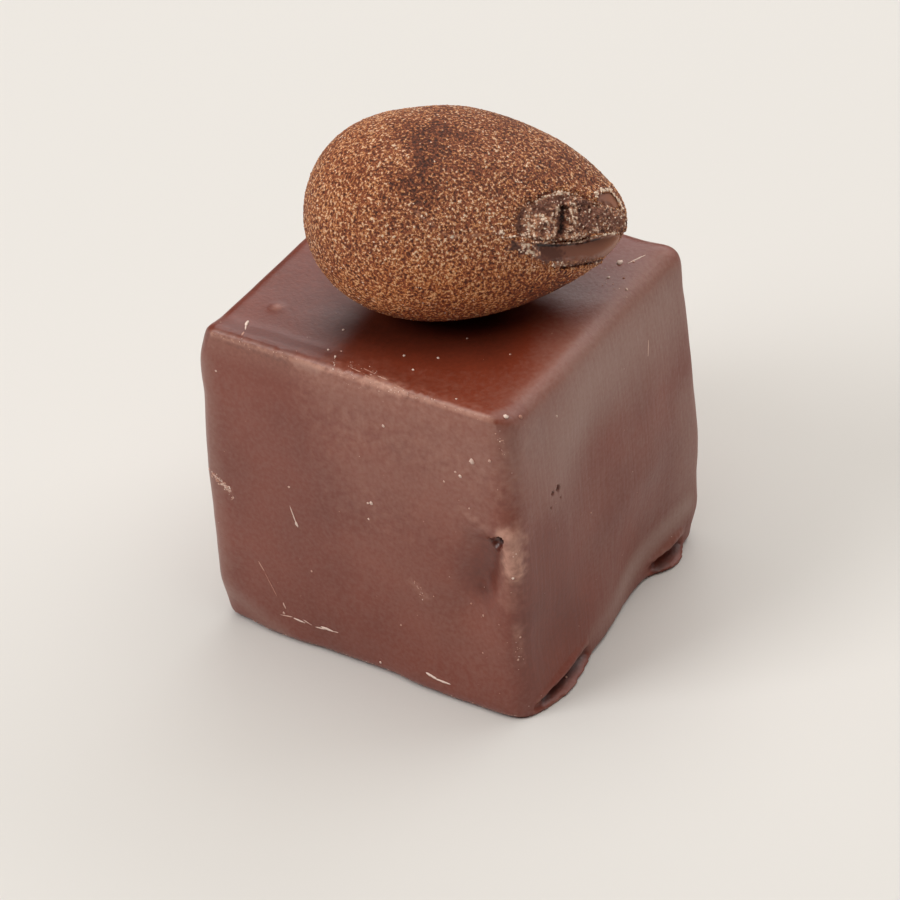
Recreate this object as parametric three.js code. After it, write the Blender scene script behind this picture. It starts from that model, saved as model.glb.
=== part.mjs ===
// Chocolate bonbon: a square block enrobed in milk chocolate, with a chocolate-coated,
// cocoa-dusted almond set on top. The block has a pinched front corner, a thumb hollow low on
// its right side, a worn lower left corner and two small feet of pooled chocolate. The almond's
// coating is chipped near the tip.
//
// Millimetres, +Z up. The origin is the middle of the block's flat underside. The broad front
// faces -Y and the hollowed side faces +X.
import * as THREE from "three";
import { mergeVertices } from "three/addons/utils/BufferGeometryUtils.js";

const { degToRad, radToDeg, lerp, smoothstep } = THREE.MathUtils;
const at = (x, y, z) => new THREE.Vector3(x, y, z);

// ---------- Driving dimensions ----------

// The block's size at the top. Its coating runs down, so it is wider towards the base.
const block = { width: 25.0, depth: 23.8, height: 25.4 };
const blockLines = { x: 24, y: 24, z: 24, crowding: 1.45 };

const almond = {
  length: 22.5,
  width: 16.2,
  thickness: 14.45,
  heading: 29.5, // degrees from +X towards +Y, from the blunt end to the tip
  droop: 4, // degrees that the tip points down
  centre: at(2.3, 0.1, 0),
  sink: 0.3, // depth of the flat spot it rests on
  gap: 0.15, // clearance over the rim of the block's slightly dished top
};
const almondLines = { around: 52, along: 42, crowding: 0.5 };

const top = block.height;
const right = block.width / 2;
const back = block.depth / 2;
const [left, front] = [-right, -back];

// ---------- Block: how it widens and how its edges are rounded ----------

// How far each base corner lies outside the one above it, and how soon below the top the sides
// swell out.
const spread = {
  frontLeft: at(-1.0, -0.2, 0),
  frontRight: at(0.45, -0.95, 0),
  backLeft: at(-0.6, 0.3, 0),
  backRight: at(0.6, 0.35, 0),
  swell: 6,
};

// Each edge's side is -1, 0 or 1 along X, Y and Z, where 0 is the way the edge runs, and its
// radius is given at the low and the high end of that way.
const SHARP = 0.45;
const edges = [
  { side: at(0, -1, 1), radius: [0.45, 0.45] },
  { side: at(1, 0, 1), radius: [2.0, 0.9] },
  { side: at(0, 1, 1), radius: [0.9, 0.9] },
  { side: at(-1, 0, 1), radius: [0.8, 0.9] },
  { side: at(1, -1, 0), radius: [1.2, 1.5] },
  { side: at(1, 1, 0), radius: [1.3, 1.0] },
  { side: at(-1, -1, 0), radius: [1.3, 1.0] },
  { side: at(-1, 1, 0), radius: [1.5, 1.2] },
];
const EDGE_START = [0.6, 0.8]; // share of the way out to an edge where its radius sets in

// ---------- Block: marks left by dipping and handling ----------

// A spot moves the surface by push at its middle and fades out at its reach.
const spots = [
  // thumb hollow low on the right side, and the shallow flute above it
  { at: at(right, 4.6, 2.2), reach: at(6, 8.5, 9.5), push: at(-1.25, 0, 0) },
  { at: at(right, -3.2, 12.5), reach: at(5, 4.5, 10), push: at(-0.4, 0, 0) },
  // flattened stretch beside the front corner, near the base
  { at: at(right, -9.3, 5.2), reach: at(4, 3, 7), push: at(-0.35, 0, 0) },
  // pinched-out corner beside the crease
  { at: at(right, front, 14.2), reach: at(2.4, 2.4, 4.2), push: at(0.3, -0.4, 0) },
  // worn lower corners, and a slack stretch of the front's base edge
  { at: at(left, front, 0), reach: at(4.6, 4.6, 4.6), push: at(0.1, 0.75, 0) },
  { at: at(right, back, 0), reach: at(3.8, 3.8, 3.2), push: at(-0.8, -0.6, 0) },
  { at: at(-4.8, front, 0), reach: at(7.5, 4, 3), push: at(0, 0.65, 0) },
  // shallow dents in the sides that face away
  { at: at(left, 3.5, 9.5), reach: at(5, 8, 9), push: at(0.35, 0, 0) },
  { at: at(-4.0, back, 13.5), reach: at(8, 5, 8), push: at(0, -0.4, 0) },
  // dome of coating over a grain, on the top
  { at: at(-9.3, -7.1, top), reach: at(1.1, 1.1, 1.5), push: at(0, 0, 0.28) },
  // slight dish of the top
  { at: at(1, 0, top), reach: at(14, 13, 4), push: at(0, 0, -0.15) },
];

// A crease runs from one place to another, with a width and a push at each end.
const creases = [
  // groove down the front from the pinched corner
  {
    ends: [at(11.2, front, 15.4), at(8.6, front, 8.2)],
    width: [1.2, 3.2],
    push: [at(0, 1.0, 0), at(0, 0.25, 0)],
  },
  // thin rim along the top front edge
  {
    ends: [at(left + 0.6, front + 0.3, top), at(right - 1.2, front + 0.3, top)],
    width: [0.9, 0.9],
    push: [at(0, 0, 0.16), at(0, 0, 0.22)],
  },
];

// Feet of pooled chocolate swell out round the base. Each fades out at its reach along its side.
const foot = { height: 1.4, crown: 0.4, root: 0.7 * right };
const feet = [
  { at: at(right, -7.4, 0), reach: 5.4, push: at(1.05, 0, 0) },
  { at: at(right, 8.4, 0), reach: 3.6, push: at(1.2, 0, 0) },
  { at: at(4.5, back, 0), reach: 5.0, push: at(0, 0.6, 0) },
];

// ---------- Almond: the chip in its coating ----------

// Places along the almond are from its middle towards the tip, and angles round it are in
// degrees from +Y up over the top. A rough pit lies above a ridge and a smooth break below it.
const chip = {
  ridge: 166,
  step: 5, // degrees over which the coating breaks off to the full depth
  pit: { along: [3.6, 4.8, 10.2, 11.2], above: [142, 118], depth: 0.45 },
  facet: { along: [4.6, 5.6, 10.6, 11.2], below: [180, 225], from: 6, depth: 0.5 },
};

// ---------- Shared helpers ----------

function closed(geometry) {
  geometry.deleteAttribute("normal");
  geometry.deleteAttribute("uv");
  return mergeVertices(geometry, 1e-5);
}

function reshape(geometry, move) {
  const position = geometry.getAttribute("position");
  const point = new THREE.Vector3();
  for (let i = 0; i < position.count; i += 1) {
    move(point.fromBufferAttribute(position, i));
    position.setXYZ(i, point.x, point.y, point.z);
  }
  return geometry;
}

const fade = (share) => (share < 1 ? (1 - share * share) ** 2 : 0);

// Rises over the first two of four places and falls over the last two.
const between = (x, [a, b, c, d]) => smoothstep(x, a, b) * (1 - smoothstep(x, c, d));

// ---------- Block ----------

// Spaces the lines of a side more closely towards its edges.
function crowd(t) {
  return Math.sign(t) * (1 - (1 - Math.abs(t)) ** blockLines.crowding);
}

function edgeRadius(share) {
  const radii = edges.map(({ side, radius }) => {
    const near = Math.min(...["x", "y", "z"].map((k) => (side[k] ? side[k] * share[k] : 1)));
    const way = ["x", "y", "z"].find((k) => side[k] === 0);
    const here = lerp(...radius, (share[way] + 1) / 2);
    return lerp(SHARP, here, smoothstep(near, ...EDGE_START));
  });
  return Math.max(...radii);
}

function roundOff(point, share) {
  const radius = edgeRadius(share);
  const room = at(right, back, top / 2).subScalar(radius);
  const inner = point.clone().clamp(room.clone().negate(), room);
  point.sub(inner).setLength(radius).add(inner);
}

function spreadBase(point) {
  const across = (point.x / right + 1) / 2;
  const nearer = spread.frontLeft.clone().lerp(spread.frontRight, across);
  const farther = spread.backLeft.clone().lerp(spread.backRight, across);
  const outward = nearer.lerp(farther, (point.y / back + 1) / 2);
  point.addScaledVector(outward, 1 - (point.z / top) ** spread.swell);
}

function pressSpot(point, start, spot) {
  const away = start.clone().sub(spot.at).divide(spot.reach).length();
  point.addScaledVector(spot.push, fade(away));
}

function pressCrease(point, start, { ends, width, push }) {
  const line = new THREE.Line3(...ends);
  const along = line.closestPointToPointParameter(start, true);
  const away = start.distanceTo(line.at(along, new THREE.Vector3()));
  point.addScaledVector(push[0].clone().lerp(push[1], along), fade(away / lerp(...width, along)));
}

function growFoot(point, start, { at: middle, reach, push }) {
  const low = 1 - smoothstep(start.z, foot.crown, foot.height);
  const outward = push.clone().normalize();
  const outside = smoothstep(start.dot(outward), foot.root, middle.dot(outward));
  const level = start.clone().setZ(0).addScaledVector(outward, -start.dot(outward));
  const away = level.distanceTo(middle.clone().addScaledVector(outward, -middle.dot(outward)));
  point.addScaledVector(push, low * outside * fade(away / reach));
}

function blockGeometry() {
  const box = new THREE.BoxGeometry(2, 2, 2, blockLines.x, blockLines.y, blockLines.z);
  reshape(box, (point) => {
    const share = at(crowd(point.x), crowd(point.y), crowd(point.z));
    point.copy(share).multiply(at(right, back, top / 2));
    roundOff(point, share);
    point.z += top / 2;
    const start = point.clone();
    spreadBase(point);
    for (const spot of spots) pressSpot(point, start, spot);
    for (const crease of creases) pressCrease(point, start, crease);
    for (const one of feet) growFoot(point, start, one);
  });
  return closed(box);
}

// ---------- Almond ----------

// The egg outline: its half-thickness along the length, as a share of a ball's.
const fullness = (share) => 1 - 0.272 * share - 0.123 * share * share;

function widest() {
  const shares = Array.from({ length: 101 }, (_, i) => i / 100);
  return Math.max(...shares.map((s) => 2 * Math.sqrt(s * (1 - s)) * fullness(s)));
}

function chipDepth(along, angle) {
  const { ridge, step, pit, facet } = chip;
  const upper = lerp(...pit.above, smoothstep(along, ...pit.along.slice(0, 2)));
  const rough = pit.depth * between(along, pit.along);
  const inPit = between(angle, [upper - step, upper + step, ridge - step, ridge]);
  const beyond = Math.max(0, (along - facet.from) / (almond.length / 2 - facet.from));
  const lower = lerp(...facet.below, beyond * beyond);
  const slope = (lower - angle) / (lower - ridge);
  const broken = facet.depth * between(along, facet.along) * smoothstep(angle, ridge, ridge + step);
  return rough * inPit + broken * Math.max(0, slope);
}

function almondGeometry() {
  const ball = new THREE.SphereGeometry(1, almondLines.around, almondLines.along);
  ball.rotateZ(-Math.PI / 2);
  const fullest = widest();
  reshape(ball, (point) => {
    const roll = Math.atan2(point.z, point.y);
    const angle = roll - almondLines.crowding * Math.sin(roll - degToRad(chip.ridge));
    const round = Math.hypot(point.y, point.z) * fullness((point.x + 1) / 2) / fullest;
    const along = (point.x * almond.length) / 2;
    const degrees = (radToDeg(angle) + 360) % 360;
    const across = (round * almond.width) / 2;
    const up = (round * almond.thickness) / 2;
    const depth = Math.min(chipDepth(along, degrees), round);
    point.set(along, (across - depth) * Math.cos(angle), (up - depth) * Math.sin(angle));
    point.applyEuler(new THREE.Euler(0, degToRad(almond.droop), degToRad(almond.heading), "ZYX"));
  });
  ball.computeBoundingBox();
  const rest = ball.boundingBox.min.z + almond.sink;
  reshape(ball, (point) => {
    point.z = Math.max(point.z, rest) - rest + top + almond.gap;
    point.add(almond.centre);
  });
  return closed(ball);
}

// ---------- Assembly ----------

const milkChocolate = new THREE.MeshStandardMaterial({ color: "#7b5045", roughness: 0.35, metalness: 0 });
const cocoaDust = new THREE.MeshStandardMaterial({ color: "#8a5a3a", roughness: 0.8, metalness: 0 });

function piece(name, geometry, material) {
  const mesh = new THREE.Mesh(geometry, material);
  mesh.name = name;
  return mesh;
}

const bonbon = new THREE.Group();
bonbon.add(piece("enrobed_block", blockGeometry(), milkChocolate));
bonbon.add(piece("coated_almond", almondGeometry(), cocoaDust));

export default bonbon;
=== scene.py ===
"""A chocolate bonbon: a block enrobed in milk chocolate with a cocoa-dusted almond on top.

It is laid out as a Blender add-on and run as a script. Lengths are in metres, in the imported
model's frame: the origin is the middle of the block's underside, the broad front faces -Y, the
side with the thumb hollow faces +X, and Z is up. Places below are written in millimetres.
"""

import math

import bpy
import numpy as np
from bpy.props import FloatProperty, FloatVectorProperty, IntProperty, PointerProperty
from bpy.types import Operator, Panel, PropertyGroup
from mathutils import Matrix, Vector, noise


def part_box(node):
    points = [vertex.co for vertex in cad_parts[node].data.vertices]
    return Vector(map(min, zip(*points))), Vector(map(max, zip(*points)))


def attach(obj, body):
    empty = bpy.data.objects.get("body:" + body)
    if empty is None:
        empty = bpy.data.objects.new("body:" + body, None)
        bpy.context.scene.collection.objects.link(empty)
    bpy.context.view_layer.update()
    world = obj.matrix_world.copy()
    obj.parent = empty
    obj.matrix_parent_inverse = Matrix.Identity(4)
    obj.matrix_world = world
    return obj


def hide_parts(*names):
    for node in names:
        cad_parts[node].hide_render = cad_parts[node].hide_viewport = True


bl_info = {
    "name": "Chocolate Bonbon",
    "version": (1, 0, 0),
    "blender": (4, 5, 0),
    "location": "View3D > Sidebar > Bonbon",
    "description": "Models an enrobed chocolate with a coated almond on top",
    "category": "Add Mesh",
}

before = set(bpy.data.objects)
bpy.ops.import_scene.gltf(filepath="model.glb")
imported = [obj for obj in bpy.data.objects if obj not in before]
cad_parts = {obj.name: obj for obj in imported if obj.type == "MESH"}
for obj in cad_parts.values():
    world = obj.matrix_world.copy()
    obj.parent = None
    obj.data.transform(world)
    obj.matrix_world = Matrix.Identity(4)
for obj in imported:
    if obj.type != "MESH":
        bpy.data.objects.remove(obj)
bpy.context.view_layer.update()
ALMOND_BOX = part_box("coated_almond")

MM = 0.001


def mm(x, y, z):
    """A place or a move, given in millimetres."""
    return Vector((x, y, z)) * MM


def linear(colour):
    """An sRGB hex colour as linear RGBA."""
    parts = [int(colour[i : i + 2], 16) / 255 for i in (1, 3, 5)]
    return (*[c / 12.92 if c <= 0.04045 else ((c + 0.055) / 1.055) ** 2.4 for c in parts], 1.0)


# ---------- Sizes ----------

BLOCK_WIDTH = 25.0
BLOCK_DEPTH = 23.8
BLOCK_HEIGHT = 25.4
RIGHT, BACK, TOP = BLOCK_WIDTH / 2, BLOCK_DEPTH / 2, BLOCK_HEIGHT
LEFT, FRONT = -RIGHT, -BACK

BLOCK_STEP = 0.24  # the mesh's step on the block, halved where it has fine relief
ALMOND_STEP = 0.15
DEEPEST = 2.5  # a pressed place may lie this far above or below the surface

# How far each base corner lies outside the one above it, by its side along X and Y.
BASE_SPREAD = {
    (-1, -1): (-1.0, -0.2),
    (1, -1): (0.45, -0.95),
    (-1, 1): (-0.6, 0.3),
    (1, 1): (0.6, 0.35),
}
SWELL = 6  # how soon below the top the sides swell out
RING_SHARES = (0.5, 0.7, 0.82, 0.9)  # heights of the rings that carry the swell

# Radius of each edge by its side along X, Y and Z, where 0 is the way that it runs.
EDGE_RADII = {
    (0, -1, 1): 0.4,
    (1, 0, 1): 1.5,
    (0, 1, 1): 0.9,
    (-1, 0, 1): 0.8,
    (1, -1, 0): 1.35,
    (1, 1, 0): 1.1,
    (-1, -1, 0): 1.2,
    (-1, 1, 0): 1.3,
    (0, -1, -1): 0.7,
    (1, 0, -1): 0.4,
    (0, 1, -1): 0.6,
    (-1, 0, -1): 0.7,
}
UPPER_RADII = {(1, -1, 0): 2.1}  # where an edge is more worn in its upper half
EDGE_SEGMENTS = 8

ALMOND_LENGTH, ALMOND_WIDTH, ALMOND_THICKNESS = 22.5, 16.2, 14.45
ALMOND_HEADING, ALMOND_DROOP = 29.5, 4.0
ALMOND_CENTRE = (2.3, 0.1)
ALMOND_SINK = 0.3  # how far its underside sinks in before it is flattened on the block's top
ALMOND_SEGMENTS, ALMOND_RINGS = 32, 24


# ---------- Settings ----------


def length(name, description, size):
    """A length that the user can change, with its default in millimetres."""
    return FloatProperty(
        name=name, description=description, default=size * MM, min=0.0, unit="LENGTH", precision=5
    )


def colour(name, description, shade):
    """A colour that the user can change, with its default in sRGB hex."""
    return FloatVectorProperty(
        name=name, description=description, default=linear(shade), size=4, min=0, max=1, subtype="COLOR"
    )


class BONBON_PG_block(PropertyGroup):
    """Sizes and colours of the enrobed block"""

    width: length("Width", "Width of the block's top, before its base swells out", BLOCK_WIDTH)
    depth: length("Depth", "Depth of the block's top, before its base swells out", BLOCK_DEPTH)
    height: length("Height", "Height from the ground to the top", BLOCK_HEIGHT)
    hollow: length("Thumb Hollow", "Depth of the hollow low on the right side", 1.25)
    crease: length("Crease", "Depth of the crease beside the front corner", 1.3)
    foot: length("Foot", "How far the pooled feet reach out at the base", 1.0)
    milk: colour("Milk Chocolate", "Colour of the coat where it set evenly", "#853822")
    deep: colour("Deep Chocolate", "Colour of the coat's darker mottling", "#742d18")
    # pale colour of worn coat, also painted as highlights
    scuffed_and_highlight: colour("Scuffed Chocolate and Highlights", "Colour of worn edges, where the coat is dull, and of painted highlights", "#c99582")
    # grey colour of painted sheen
    painted_sheen: colour("Painted Sheen", "Grey colour painted as sheen on the sides and edges", "#a07a6e")
    # dark colour of painted shade
    pooled: colour("Painted Shade", "Dark colour painted as shade in folds, coves, the crease and round the almond", "#3d140a")
    crumb: colour("Chocolate Crumb", "Colour of the palest crumbs and scrapes", "#f5ddd0")


class BONBON_PG_almond(PropertyGroup):
    """Sizes and colours of the coated almond"""

    length: length("Length", "Length from the blunt end to the tip", ALMOND_LENGTH)
    width: length("Width", "Width across", ALMOND_WIDTH)
    thickness: length("Thickness", "Thickness from the underside to the top", ALMOND_THICKNESS)
    heading: FloatProperty(
        name="Heading",
        description="Turn of the tip from the right, seen from above",
        default=math.radians(ALMOND_HEADING),
        subtype="ANGLE",
    )
    droop: FloatProperty(
        name="Droop",
        description="How far the tip hangs below level",
        default=math.radians(ALMOND_DROOP),
        subtype="ANGLE",
    )
    chip: length("Chip", "Depth of the chip in the coat, near the tip", 0.45)
    grains: IntProperty(
        name="Dust Grains", description="How many loose grains of dust lie on the coat", default=4200, min=0
    )
    coat: colour("Coat", "Colour of the chocolate coat under the dust", "#32150c")
    cocoa: colour("Cocoa", "Colour of the cocoa in the dust", "#9b5233")
    gold: colour("Gold", "Colour of the dust's brightest grains", "#e9a56a")
    broken: colour("Fresh Break", "Colour of the broken coat in the chip", "#95624f")
    # also the colour of painted glints on the dust and painted highlights on the break
    pale: colour("Pale Crumbs", "Colour of scraped edges and the finest crumbs, and of painted glints and highlights", "#ffe6cf")


class BONBON_PG_stage(PropertyGroup):
    """Floor and lights"""

    floor: colour("Floor", "Colour of the floor", "#e0ddda")
    room: FloatProperty(
        name="Room Light", description="Strength of the light from above", default=1.9, min=0, soft_max=3
    )
    front: FloatProperty(
        name="Front Light", description="Power of the softbox in front", default=0.68, min=0, unit="POWER"
    )
    back: FloatProperty(
        name="Back Light", description="Power of the softbox behind", default=1.25, min=0, unit="POWER"
    )


# ---------- Working as by hand ----------


def activate(obj):
    """Makes obj the one selected and active object, in object mode."""
    if bpy.context.object and bpy.context.object.mode != "OBJECT":
        bpy.ops.object.mode_set(mode="OBJECT")
    bpy.ops.object.select_all(action="DESELECT")
    obj.select_set(True)
    bpy.context.view_layer.objects.active = obj


def places(obj):
    """Every vertex's place, in millimetres."""
    spots = np.empty(len(obj.data.vertices) * 3)
    obj.data.vertices.foreach_get("co", spots)
    return spots.reshape(-1, 3) / MM


def edit_only(obj, chosen):
    """Opens edit mode with just the chosen vertices selected."""
    activate(obj)
    mesh = obj.data
    for parts in (mesh.edges, mesh.polygons):
        parts.foreach_set("select", np.zeros(len(parts), bool))
    mesh.vertices.foreach_set("select", chosen)
    bpy.ops.object.mode_set(mode="EDIT")
    bpy.ops.mesh.select_mode(type="VERT")


def leave_edit():
    """Goes back to object mode, which keeps the edit."""
    bpy.ops.object.mode_set(mode="OBJECT")


def modify(obj, kind, **settings):
    """Adds a modifier and applies it."""
    activate(obj)
    modifier = obj.modifiers.new(kind.title(), kind)
    for name, value in settings.items():
        setattr(modifier, name, value)
    bpy.ops.object.modifier_apply(modifier=modifier.name)


def from_line(spots, start, end):
    """How far each spot lies from the straight stretch between two places."""
    start, end = np.array(start), np.array(end)
    way = end - start
    along = np.clip((spots - start) @ way / max(way @ way, 1e-9), 0, 1)
    return np.linalg.norm(spots - start - along[:, None] * way, axis=1)


def from_path(spots, path):
    """How far each spot lies from a bent line."""
    return np.min([from_line(spots, start, end) for start, end in zip(path, path[1:])], axis=0)


def smooth_rise(values, low, high):
    """0 below low, 1 above high and a smooth rise between them."""
    share = np.clip((values - low) / (high - low), 0, 1)
    return share * share * (3 - 2 * share)


def press(obj, place, push, reach, to=None, falloff="SMOOTH"):
    """Moves the surface at a place, or all along the line to another, and softly round it. The
    place is taken as seen along the push, so it needn't lie right on the surface."""
    spots = places(obj)
    start, end = np.array(place), np.array(to or place)
    way = np.array(push) / np.linalg.norm(push)
    away = from_line(
        spots - np.outer(spots @ way, way), start - (start @ way) * way, end - (end @ way) * way
    )
    away[np.abs((spots - (start + end) / 2) @ way) > DEEPEST] = np.inf
    line_width = 0.6 * BLOCK_STEP if to else 0.0
    edit_only(obj, away <= max(away.min() + 1e-6, line_width))
    bpy.ops.transform.translate(
        value=mm(*push),
        use_proportional_edit=True,
        proportional_edit_falloff=falloff,
        proportional_size=reach * MM,
    )
    leave_edit()


def refine(obj, chosen):
    """Halves the mesh's step over the chosen vertices."""
    edit_only(obj, chosen)
    bpy.ops.mesh.subdivide(number_cuts=1)
    leave_edit()


def weigh(obj, name, weights):
    """Makes a vertex group from one weight for each vertex."""
    group = obj.vertex_groups.new(name=name)
    for index in np.nonzero(weights > 0.01)[0]:
        group.add([int(index)], float(weights[index]), "REPLACE")
    return group


def roughen(obj, name, grain, height, weights=None):
    """Raises an uneven relief with lumps of a given size and height, where the weights say."""
    texture = bpy.data.textures.new(name, "CLOUDS")
    texture.noise_scale = grain * MM
    settings = dict(texture=texture, texture_coords="LOCAL", strength=height * MM)
    if weights is not None:
        settings["vertex_group"] = weigh(obj, name, weights).name
    modify(obj, "DISPLACE", **settings)
    obj.vertex_groups.clear()


def paint(obj, name, amounts):
    """Keeps one amount for each vertex as an attribute, which the material reads."""
    attribute = obj.data.attributes.new(name, "FLOAT", "POINT")
    attribute.data.foreach_set("value", np.asarray(amounts, dtype=np.float32))


def painted(obj, name):
    """The amounts that an attribute keeps, one for each vertex."""
    amounts = np.empty(len(obj.data.vertices), dtype=np.float32)
    obj.data.attributes[name].data.foreach_get("value", amounts)
    return amounts


def cloud(spots, grain):
    """Smooth random unevenness from -1 to 1 at each spot, with lumps of a given size."""
    return np.array([noise.noise(Vector(spot) / grain) for spot in spots])


def finish_piece(obj, name, slot, material, *stands_for):
    """Names a piece, gives it its finish and puts it on the model's one body."""
    obj.name = obj.data.name = name
    activate(obj)
    bpy.ops.object.shade_smooth()
    obj.data.materials.clear()
    obj.data.materials.append(material)
    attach(obj, "root")
    if stands_for:
        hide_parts(*stands_for)


# ---------- Grains and crumbs ----------


def surface_normals(obj):
    """Every vertex's normal."""
    normals = np.empty(len(obj.data.vertices) * 3)
    obj.data.vertices.foreach_get("normal", normals)
    return normals.reshape(-1, 3)


def scatter(name, spots, normals, sizes, tones, flatness, seed):
    """One mesh of many small lumps. Each lies flat on its spot, turned at random, and is half
    sunk in, and its tone is kept as an attribute."""
    bpy.ops.object.select_all(action="DESELECT")
    bpy.ops.mesh.primitive_ico_sphere_add(subdivisions=1, radius=0.5 * MM)
    lump = bpy.context.object
    edit_only(lump, np.ones(len(lump.data.vertices), bool))
    bpy.ops.transform.resize(value=(1, 0.75, flatness))
    bpy.ops.transform.vertex_random(offset=0.08 * MM, seed=seed)
    leave_edit()
    corners = places(lump)
    faces = np.array([face.vertices[:] for face in lump.data.polygons])
    activate(lump)
    bpy.ops.object.delete()
    rng = np.random.default_rng(seed)
    aside = np.cross(normals, rng.normal(size=normals.shape))
    aside /= np.linalg.norm(aside, axis=1)[:, None]
    axes = np.stack([aside, np.cross(normals, aside), normals], axis=1)
    points = np.einsum("nc,kcd->knd", corners, axes) * sizes[:, None, None] + spots[:, None, :]
    linked = faces[None] + len(corners) * np.arange(len(spots))[:, None, None]
    mesh = bpy.data.meshes.new(name)
    mesh.from_pydata((points.reshape(-1, 3) * MM).tolist(), [], linked.reshape(-1, 3).tolist())
    piece = bpy.data.objects.new(name, mesh)
    bpy.context.scene.collection.objects.link(piece)
    paint(piece, "tone", np.repeat(tones, len(corners)))
    return piece


def join(pieces):
    """Joins pieces into the first one."""
    activate(pieces[0])
    for piece in pieces:
        piece.select_set(True)
    bpy.ops.object.join()
    return pieces[0]


# ---------- Materials ----------


def add(tree, kind, inputs=None, stops=(), **settings):
    """Adds a node. Each input is a value, another node's output or a whole node, which gives its
    first output. A ramp takes stops."""
    new = tree.nodes.new("ShaderNode" + kind)
    for name, value in settings.items():
        setattr(new, name, value)
    for socket, value in (inputs or {}).items():
        if isinstance(value, bpy.types.Node):
            value = value.outputs[0]
        if isinstance(value, bpy.types.NodeSocket):
            tree.links.new(value, new.inputs[socket])
        else:
            new.inputs[socket].default_value = value
    for index, (place, shade) in enumerate(stops):
        elements = new.color_ramp.elements
        element = elements[index] if index < 2 else elements.new(place)
        element.position, element.color = place, shade
    return new


def new_tree(name):
    """A new material's empty node tree."""
    material = bpy.data.materials.new(name)
    material.use_nodes = True
    material.node_tree.nodes.clear()
    return material, material.node_tree


def painted_marks(tree, *names):
    """The outputs that read a piece's painted attributes."""
    return [add(tree, "Attribute", attribute_name=name).outputs["Fac"] for name in names]


def milk_chocolate(block):
    """Milk chocolate, enrobed and air-cooled: satin, with soft wide highlights and faint
    mottling where the coat set unevenly. Worn edges are paler and dull, and the same pale is
    painted highlight on edges, lips and the front's upper part; grey paint is painted sheen and
    dark paint is painted shade in folds, coves and round the almond; the hollow side has fine
    upright strokes."""
    material, tree = new_tree("Enrobed milk chocolate")
    coords = add(tree, "TexCoord").outputs["Object"]
    wear_and_highlight, sheen_and_shade, brushed = painted_marks(tree, "wear_and_highlight", "sheen_and_shade", "brushed")
    # mottling 6 mm across, and a grain of 0.3 mm
    mottle = add(tree, "TexNoise", {"Vector": coords, "Scale": 1 / (6 * MM), "Detail": 5.0})
    grain = add(tree, "TexNoise", {"Vector": coords, "Scale": 1 / (0.3 * MM), "Detail": 3.0})
    spread = add(tree, "MapRange", {"Value": mottle, "From Min": 0.25, "From Max": 0.75})
    tone = add(tree, "Mix", {0: spread, 6: block.deep, 7: block.milk}, data_type="RGBA")
    speckled = add(
        tree,
        "MapRange",
        {"Value": grain, "From Min": 0.3, "From Max": 0.7, "To Min": 0.75, "To Max": 1.2},
    )
    speckled_wear_and_highlight = add(tree, "Math", {0: wear_and_highlight, 1: speckled}, operation="MULTIPLY")
    # paler where the coat is worn, and where the same pale is painted highlight
    worn = add(tree, "Mix", {0: speckled_wear_and_highlight, 6: tone.outputs[2], 7: block.scuffed_and_highlight}, data_type="RGBA")
    # painted sheen greys the coat where the mark is above zero, painted shade darkens it below
    uneven_sheen_and_shade = add(tree, "Math", {0: grain, 1: 0.5, 2: sheen_and_shade}, operation="MULTIPLY_ADD")
    signed_sheen_and_shade = add(tree, "Math", {0: uneven_sheen_and_shade, 1: 0.25}, operation="SUBTRACT")
    # how much painted shade: the mark below zero, made positive
    clear = add(tree, "Math", {0: signed_sheen_and_shade, 1: -1.0}, operation="MULTIPLY")
    with_painted_sheen = add(tree, "Mix", {0: signed_sheen_and_shade, 6: worn.outputs[2], 7: block.painted_sheen}, data_type="RGBA")
    # painted shade darkens the coat towards the dark shade colour
    with_painted_shade = add(tree, "Mix", {0: clear, 6: with_painted_sheen.outputs[2], 7: block.pooled}, data_type="RGBA")
    # strokes 0.3 mm wide and 7 mm long, nearly upright
    leaning = add(
        tree, "Mapping", {"Vector": coords, "Rotation": (0.12, 0, 0), "Scale": (1, 1, 0.3 / 7)}
    )
    strokes = add(tree, "TexNoise", {"Vector": leaning, "Scale": 1 / (0.3 * MM), "Detail": 3.0})
    stroked = add(tree, "Math", {0: strokes, 1: brushed}, operation="MULTIPLY")
    dull = add(tree, "Math", {0: stroked, 1: 0.2, 2: 0.38}, operation="MULTIPLY_ADD")
    roughness = add(tree, "Math", {0: speckled_wear_and_highlight, 1: 0.25, 2: dull}, operation="MULTIPLY_ADD")
    relief = add(tree, "Math", {0: stroked, 1: 2.0, 2: grain}, operation="MULTIPLY_ADD")
    bump = add(tree, "Bump", {"Strength": 0.5, "Distance": 0.04 * MM, "Height": relief})
    shader = add(
        tree,
        "BsdfPrincipled",
        {"Base Color": with_painted_shade.outputs[2], "Roughness": roughness, "IOR": 1.64, "Normal": bump},
    )
    add(tree, "OutputMaterial", {"Surface": shader})
    return material


# Colours of the break between its settings' ones, the darkest also painted shade, and the golden
# tint of the warmest dust, which round the almond's lower side is painted bounce light.
BREAK_GAP_SHADE, BREAK_SHADE, BREAK_LIGHT = "#1d0b07", "#6c4337", "#d3946f"
GOLDEN_AND_BOUNCE_TINT = "#ffdcae"


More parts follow.
